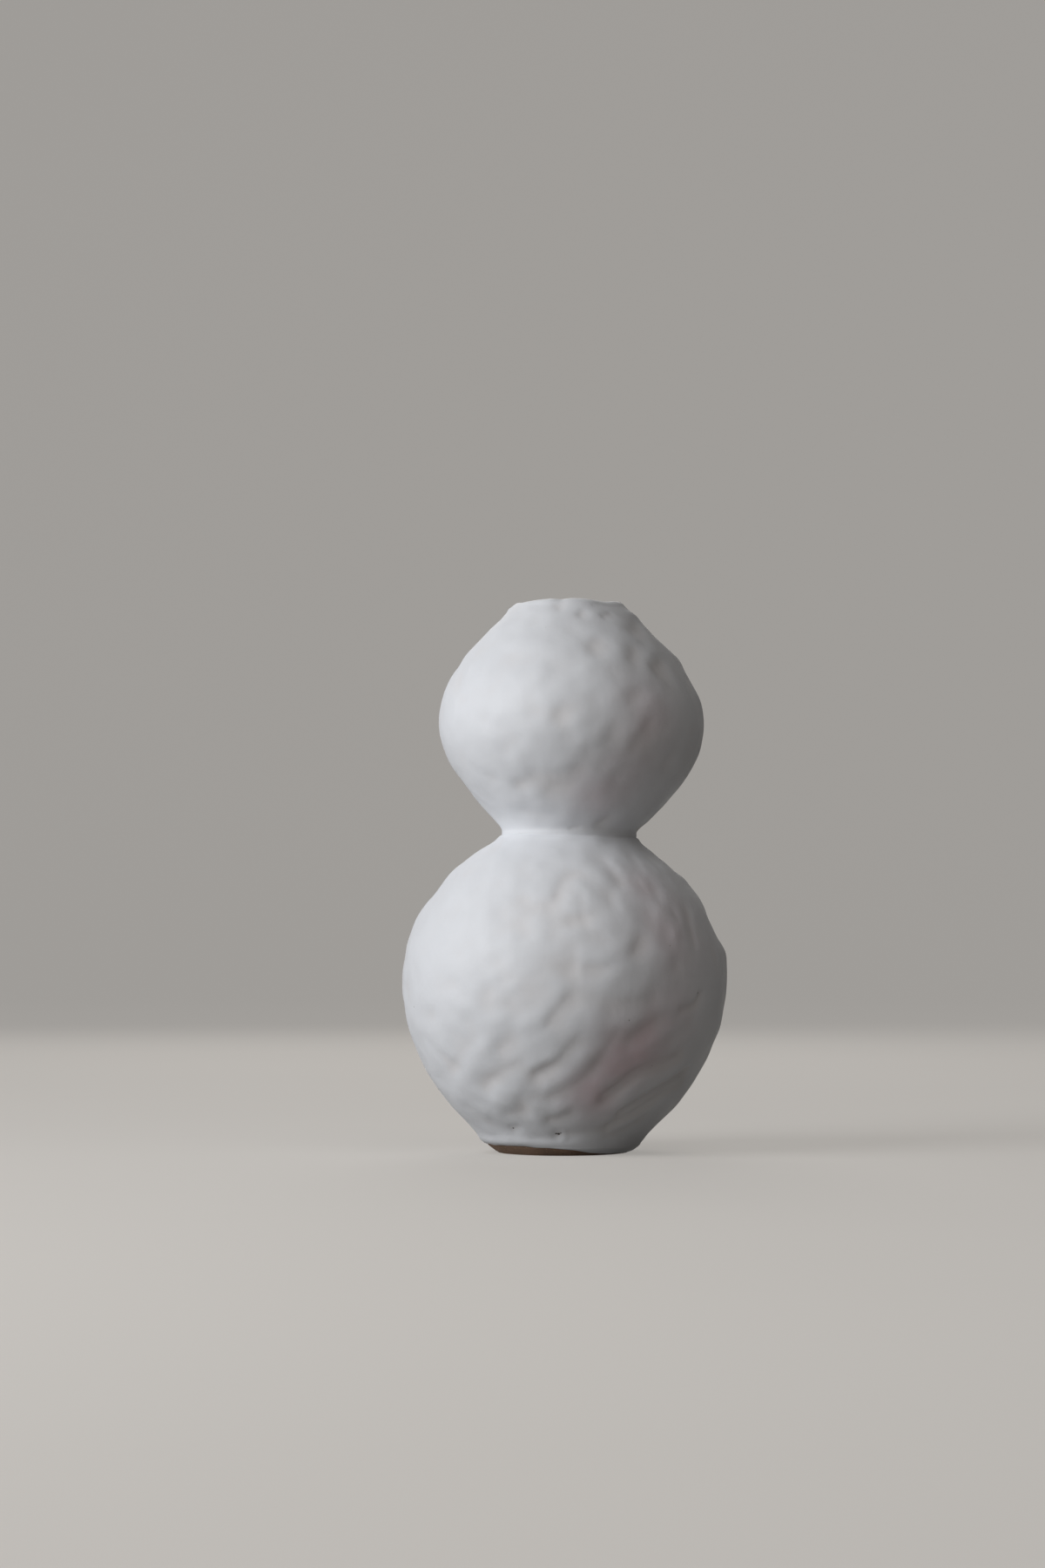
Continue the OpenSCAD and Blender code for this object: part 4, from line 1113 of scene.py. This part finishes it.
def studio_material(finish):
    """Plain matt floor and backdrop, very slightly mottled, with a pale glow that only camera, gloss and
    transmission rays see, so that it lights nothing."""
    made = Coating("plain_studio")
    mottle = made.patches(scale=3.0, detail=2.0)
    colour = made.mix(mottle, finish.studio, shade(finish.studio, share=0.985))
    glow = made.times(made.seen(), finish.glow)
    return made.finished({"Base Color": colour, "Roughness": 0.9, "Specular IOR Level": 0.1,
                          "Emission Color": (*finish.studio, 1.0), "Emission Strength": glow})


class VASE_OT_foot_slab(Operator):
    """The bare slab foot: a bevelled disc with softened edges and a wire-cut underside."""
    bl_idname = "vase.foot_slab"
    bl_label = "Foot slab"

    def profile(self, pot, foot_r):
        """Radii and heights of its rings: out underneath, round the lower edge, up the bevel, and in."""
        flat_r = foot_r - FOOT_FLAT_SHARE * FOOT_SOFT
        under = [(share * flat_r, 0.0) for share in FOOT_UNDER_SHARES]
        edge = [(foot_r + out * FOOT_SOFT, up * FOOT_SOFT) for out, up in FOOT_EDGE_SHARES]
        side = [(float(pot.side(z)), z) for z in pot.slab_t * FOOT_SIDE_SHARES]
        top = [(share * pot.slab_r, pot.slab_t) for share in FOOT_TOP_SHARES]
        return under + edge + side + top

    def wire_cut(self, x, y, foot_r):
        """Height of the wire's cut: fine bowed grooves, clear in some patches and faint in others."""
        groove = np.sin((y + CUT_BOW_SHARE * x * x / foot_r) / CUT_STEP)
        clear = CUT_CLEAR_SHARE + CUT_CHANGE_SHARE * np.sin(x / CUT_PATCH_STEP + CUT_PHASE)
        return CUT_DEPTH * (1.0 + clear * groove)

    def execute(self, context):
        pot = Pot(context.scene)
        foot_r = 0.5 * pot.form.foot_d
        fade = FOOT_FADE_SHARE * foot_r
        a = turns(FINE_COLUMNS)[0]
        waver = FOOT_WAVER * (waves(a, FOOT_WAVES) - FOOT_INSET_SHARE)
        rings = []
        for r, z in self.profile(pot, foot_r):
            on_side = ease((r - WAVER_START_SHARE * foot_r) / fade) * ease((pot.slab_t - z) / FOOT_FADE)
            points = ring(r + waver * on_side, a, z)
            if z == 0.0:
                inside = ease((CUT_END_SHARE * foot_r - r) / fade)
                points[:, 2] += inside * self.wire_cut(points[:, 0], points[:, 1], foot_r)
            rings.append(points)
        points, faces = wrapped(rings, False, ((0.0, 0.0, CUT_DEPTH), (0.0, 0.0, pot.slab_t)))
        material = clay_material("bare_foot_clay", context.scene.pot_finish.foot_clay, grit=1.0)
        publish("bare_foot_slab", "foot_slab", material, points, faces)
        return {"FINISHED"}


class VASE_OT_clay_courses(Operator):
    """The seven courses of clay and the rim coil, luted one on another under the coats."""
    bl_idname = "vase.clay_courses"
    bl_label = "Clay courses"

    def execute(self, context):
        pot = Pot(context.scene)
        a = turns(COARSE_COLUMNS)
        material = clay_material("wall_clay", context.scene.pot_finish.wall_clay, grit=0.7)
        for i, (node, _) in enumerate(COURSES):
            h = levels(pot, COARSE_ROWS, i, i + 1)
            outer = pot.under_skin(h, a, pot.form.glaze_t, pot.relief(h, a))
            inner = pot.under_skin(h, a, pot.clay_in(h), pot.lip_relief(h, a))
            lip = []
            if node == "rim_coil":
                lip = lip_rows(outer[-1], inner[-1], pot.form.lip_round - pot.form.glaze_t)
            points, faces = wrapped([*outer, *lip, *inner[::-1]], True)
            publish(node + "_clay", node, material, points, faces)
        return {"FINISHED"}


class VASE_OT_outer_glaze(Operator):
    """The matte white coat, from its uneven line on the foot up and over the lip."""
    bl_idname = "vase.outer_glaze"
    bl_label = "Outer glaze"

    def skirt(self, pot, a, thickness):
        """Rings over the slab's edge and bevel, from the glaze line up: the slab's radius plus the coat,
        rounded to nothing over one coat's thickness at the line."""
        line = pot.glaze_line(a)
        rings = []
        for share in SKIRT_SHARES[::-1]:
            z = between(pot.slab_t, line, share)
            near = np.clip((z - line) / pot.form.glaze_t, 0.0, 1.0)
            coat = thickness * np.sqrt(1.0 - (1.0 - near) ** 2)
            swell = pot.roll(z, a) * near if thickness else 0.0
            rings.append(ring(pot.side(z) + coat + swell, a, z))
        return rings

    def seen_rings(self, pot, a, h, relief):
        """The coat's seen side: the skirt, the marked skin, the lip and the edge where the liner starts."""
        outside = pot.under_skin(h, a, 0.0, relief - pot.roll(h, a))
        inside = pot.under_skin(h[-1:], a, pot.cavity(h[-1:]), relief[-1:])
        lip = lip_rows(outside[-1], inside[0], pot.form.lip_round)
        return [*self.skirt(pot, a[0], pot.form.glaze_t), *outside, *lip, *inside]

    def hidden_rings(self, pot, a, h):
        """The coat's hidden side, which lies on the clay, from the lip back down to the skirt."""
        form, relief = pot.form, pot.relief(h, a)
        clay = pot.under_skin(h, a, form.glaze_t, relief)
        clay_top = pot.under_skin(h[-1:], a, pot.clay_in(h[-1:]), relief[-1:])
        lip = lip_rows(clay[-1], clay_top[0], form.lip_round - form.glaze_t)
        return [*clay_top, *lip[::-1], *clay[::-1]]

    def looks(self, pot, a, relief, points):
        """What the glaze reads at its points: how deep a mark is in mm, which sets the painted shade in its
        hollow, how thin the coat is on the lip, where a bell across the lip is patchy round it, and how much
        painted mauve reflected light it takes."""
        hollow, thin = np.zeros(len(points)), np.zeros(len(points))
        start = len(SKIRT_SHARES) * len(a)
        lip_start = start + relief.size
        hollow[start:lip_start] = relief.ravel() / MM
        across = np.linspace(0.0, 1.0, len(LIP_SHARES) + 1)[:, None]
        edge = ease(1.0 - np.abs(across - THIN_MIDDLE_SHARE) / THIN_SPREAD_SHARE)
        first, second = (np.sin(count * a + phase) for count, phase in zip(THIN_COUNTS, THIN_PHASES))
        patchy = 0.5 + 0.5 * first * second
        thin[lip_start:lip_start + len(across) * len(a)] = (edge * patchy).ravel()
        return {"hollow": hollow, "thin": thin, "warm_bounce_tint": self.warm_bounce_tint(pot, points)}

    def execute(self, context):
        pot = Pot(context.scene)
        a, h = turns(FINE_COLUMNS), levels(pot, FINE_ROWS)
        relief = pot.relief(h, a)
        hidden = self.hidden_rings(pot, turns(COARSE_COLUMNS), levels(pot, COARSE_ROWS))
        under_skirt = self.skirt(pot, a[0], 0.0)[:0:-1]
        points, faces = wrapped(self.seen_rings(pot, a, h, relief) + hidden + under_skirt, True)
        material = glaze_material(context.scene.pot_finish, self.pits(pot))
        looks = self.looks(pot, a[0], relief, points)
        publish("outer_glaze_coat", "outer_glaze", material, points, faces, looks)
        return {"FINISHED"}

    def warm_bounce_tint(self, pot, points):
        """Painted mauve reflected light on the shaded side: the sum of soft spots through space, in front and
        at the back.
        """
        total = np.zeros(len(points))
        spots = [(*pot.on_skin([(x, y)]), spread, share) for x, y, spread, share in PAINTED_BOUNCE_SPOTS]
        for h, a, spread, share in BACK_PAINTED_BOUNCE_SPOTS:
            spots.append((np.array([h * MM]), np.radians([a]), spread, share))
        for h, a, spread, share in spots:
            centre = pot.under_skin(h[:, None], a[None, :], 0.0, 0.0)[0, 0]
            total += share * bell(np.linalg.norm(points - centre, axis=1) / (spread * MM))
        return np.minimum(1.0, total)

    def pits(self, pot):
        """Places of the black pits on the marked skin, and their radii."""
        made = []
        for x, y, radius in PITS:
            h, a = pot.on_skin([(x, y)])
            h, a = h[:, None], a[None, :]
            place = pot.under_skin(h, a, 0.0, pot.relief(h, a) - pot.roll(h, a))[0, 0]
            made.append((place, radius * MM))
        return made


class VASE_OT_inner_glaze(Operator):
    """The liner glaze, from under the lip down over the floor, pooled in the corner."""
    bl_idname = "vase.inner_glaze"
    bl_label = "Inner glaze"

    def execute(self, context):
        pot = Pot(context.scene)
        a, h = turns(COARSE_COLUMNS), levels(pot, COARSE_ROWS)
        lip = pot.lip_relief(h, a)
        outer = pot.under_skin(h, a, pot.clay_in(h), lip)
        pool = POOL_DEPTH * (1.0 - ease((h - pot.slab_t) / POOL_RISE)) ** 2
        below_lip = ease((pot.seams[-1] - h) / LIP_FADE)
        ripple = LINER_RIPPLE_SHARE * below_lip * pot.ripple(h, a)
        inner = pot.under_skin(h, a, pot.cavity(h) + pool, lip - ripple)
        floor_z = pot.slab_t + pot.form.liner_t
        inner[:, :, 2] = np.maximum(inner[:, :, 2], floor_z)
        corner = inner[0] * [1.0, 1.0, 0.0] + [0.0, 0.0, floor_z]
        floor = [corner * [share, share, 1.0] for share in LINER_FLOOR_SHARES]
        centres = ((0.0, 0.0, pot.slab_t), (0.0, 0.0, floor_z))
        points, faces = wrapped([*outer, *inner[:0:-1], *floor], False, centres)
        material = liner_material(context.scene.pot_finish)
        publish("inner_glaze_coat", "inner_glaze", material, points, faces)
        return {"FINISHED"}


class VASE_OT_studio(Operator):
    """A plain pale floor that sweeps up all round, soft light from the upper left, and the camera."""
    bl_idname = "vase.studio"
    bl_label = "Studio"

    def floor(self, finish):
        """A surface of revolution: a flat disc, a quarter circle up and a short upright wall."""
        bend = np.linspace(0.0, RIGHT_ANGLE, BEND_RINGS)
        radius = np.concatenate([FLOOR_RADII, FLOOR_R + BEND_R * np.sin(bend), [FLOOR_R + BEND_R]])
        height = np.concatenate([0.0 * FLOOR_RADII, BEND_R * (1.0 - np.cos(bend)), [BEND_R + BACKDROP_H]])
        a = turns(FLOOR_COLUMNS)[0]
        count, wide = len(radius), len(a)
        faces = []
        for i in range(count - 1):
            faces += bridge((i + 1) * wide, wide, i * wide, wide)
        k = np.arange(wide)
        centre = np.full_like(k, count * wide)
        faces += np.stack([centre, k, (k + 1) % wide], axis=1).tolist()
        points = np.concatenate([*(ring(r, a, z) for r, z in zip(radius, height)), [[0.0, 0.0, 0.0]]])
        smooth("studio_sweep", studio_material(finish), points, faces)

    def lamp(self, name, azimuth, elevation, far, size, watts, colour):
        """A round soft lamp that faces the middle of the pot."""
        light = bpy.data.lights.new(name, "AREA")
        light.shape, light.size = "DISK", size
        light.energy, light.color = watts, colour
        lamp = bpy.data.objects.new(name, light)
        az, el = math.radians(azimuth), math.radians(elevation)
        middle = 0.5 * OVERALL_H
        away = (math.cos(el) * math.cos(az), math.cos(el) * math.sin(az), math.sin(el))
        lamp.location = (far * away[0], far * away[1], middle + far * away[2])
        lamp.rotation_euler = (RIGHT_ANGLE - el, 0.0, az + RIGHT_ANGLE)
        bpy.context.scene.collection.objects.link(lamp)

    def world(self, strength, tint, colour):
        """An even sky that lights the scene, and shows as a plain pale colour to camera, gloss and
        transmission rays."""
        world = bpy.data.worlds.new("plain_sky")
        bpy.context.scene.world = world
        made = Nodes(world)
        lit, shown = made.add("ShaderNodeBackground"), made.add("ShaderNodeBackground")
        made.fill(lit, {"Color": (*tint, 1.0), "Strength": strength})
        made.fill(shown, {"Color": (*colour, 1.0)})
        mix = made.add("ShaderNodeMixShader")
        made.fill(mix, {0: made.seen(), 1: lit.outputs["Background"], 2: shown.outputs["Background"]})
        output = made.add("ShaderNodeOutputWorld")
        made.put(mix.outputs["Shader"], output.inputs["Surface"])

    def execute(self, context):
        scene = context.scene
        finish, view = scene.pot_finish, scene.studio_view
        self.floor(finish)
        for lamp in LAMPS:
            self.lamp(*lamp)
        self.world(SKY_STRENGTH, SKY_TINT, shade(finish.studio, SKY_PALE_SHARE))
        camera = bpy.data.objects.new("reference_camera", bpy.data.cameras.new("reference_camera"))
        camera.data.lens = view.lens
        camera.data.sensor_width = view.sensor
        camera.data.sensor_fit = "AUTO"
        camera.location = view.place
        camera.rotation_euler = (RIGHT_ANGLE + view.pitch, 0.0, 0.0)
        scene.collection.objects.link(camera)
        scene.camera = camera
        scene.view_settings.view_transform = "Standard"
        return {"FINISHED"}


class VASE_PT_sidebar(Panel):
    """Lists the pieces and the sizes that a user would change."""
    bl_label = "Gourd vase"
    bl_idname = "VASE_PT_sidebar"
    bl_space_type = "VIEW_3D"
    bl_region_type = "UI"
    bl_category = "Vase"

    def draw(self, context):
        layout = self.layout
        for piece in PIECES + (VASE_OT_studio,):
            layout.operator(piece.bl_idname)
        for name in GROUPS:
            group = getattr(context.scene, name)
            box = layout.box()
            for key in group.__annotations__:
                box.prop(group, key)


PIECES = (VASE_OT_foot_slab, VASE_OT_clay_courses, VASE_OT_outer_glaze, VASE_OT_inner_glaze)
GROUPS = {"pot_form": PotForm, "pot_marks": PotMarks, "studio_view": StudioView, "pot_finish": Finish}
CLASSES = (*GROUPS.values(), *PIECES, VASE_OT_studio, VASE_PT_sidebar)


def register():
    """Registers the classes, and gives each scene its groups of sizes and colours."""
    for cls in CLASSES:
        bpy.utils.register_class(cls)
    for key, group in GROUPS.items():
        setattr(bpy.types.Scene, key, PointerProperty(type=group))


def unregister():
    """Takes the groups off the scenes, and the classes in the opposite order."""
    for key in GROUPS:
        delattr(bpy.types.Scene, key)
    for cls in reversed(CLASSES):
        bpy.utils.unregister_class(cls)


def main():
    """Registers the add-on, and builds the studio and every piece."""
    register()
    bpy.ops.vase.studio()
    bpy.ops.vase.foot_slab()
    bpy.ops.vase.clay_courses()
    bpy.ops.vase.outer_glaze()
    bpy.ops.vase.inner_glaze()


if __name__ == "__main__":
    main()
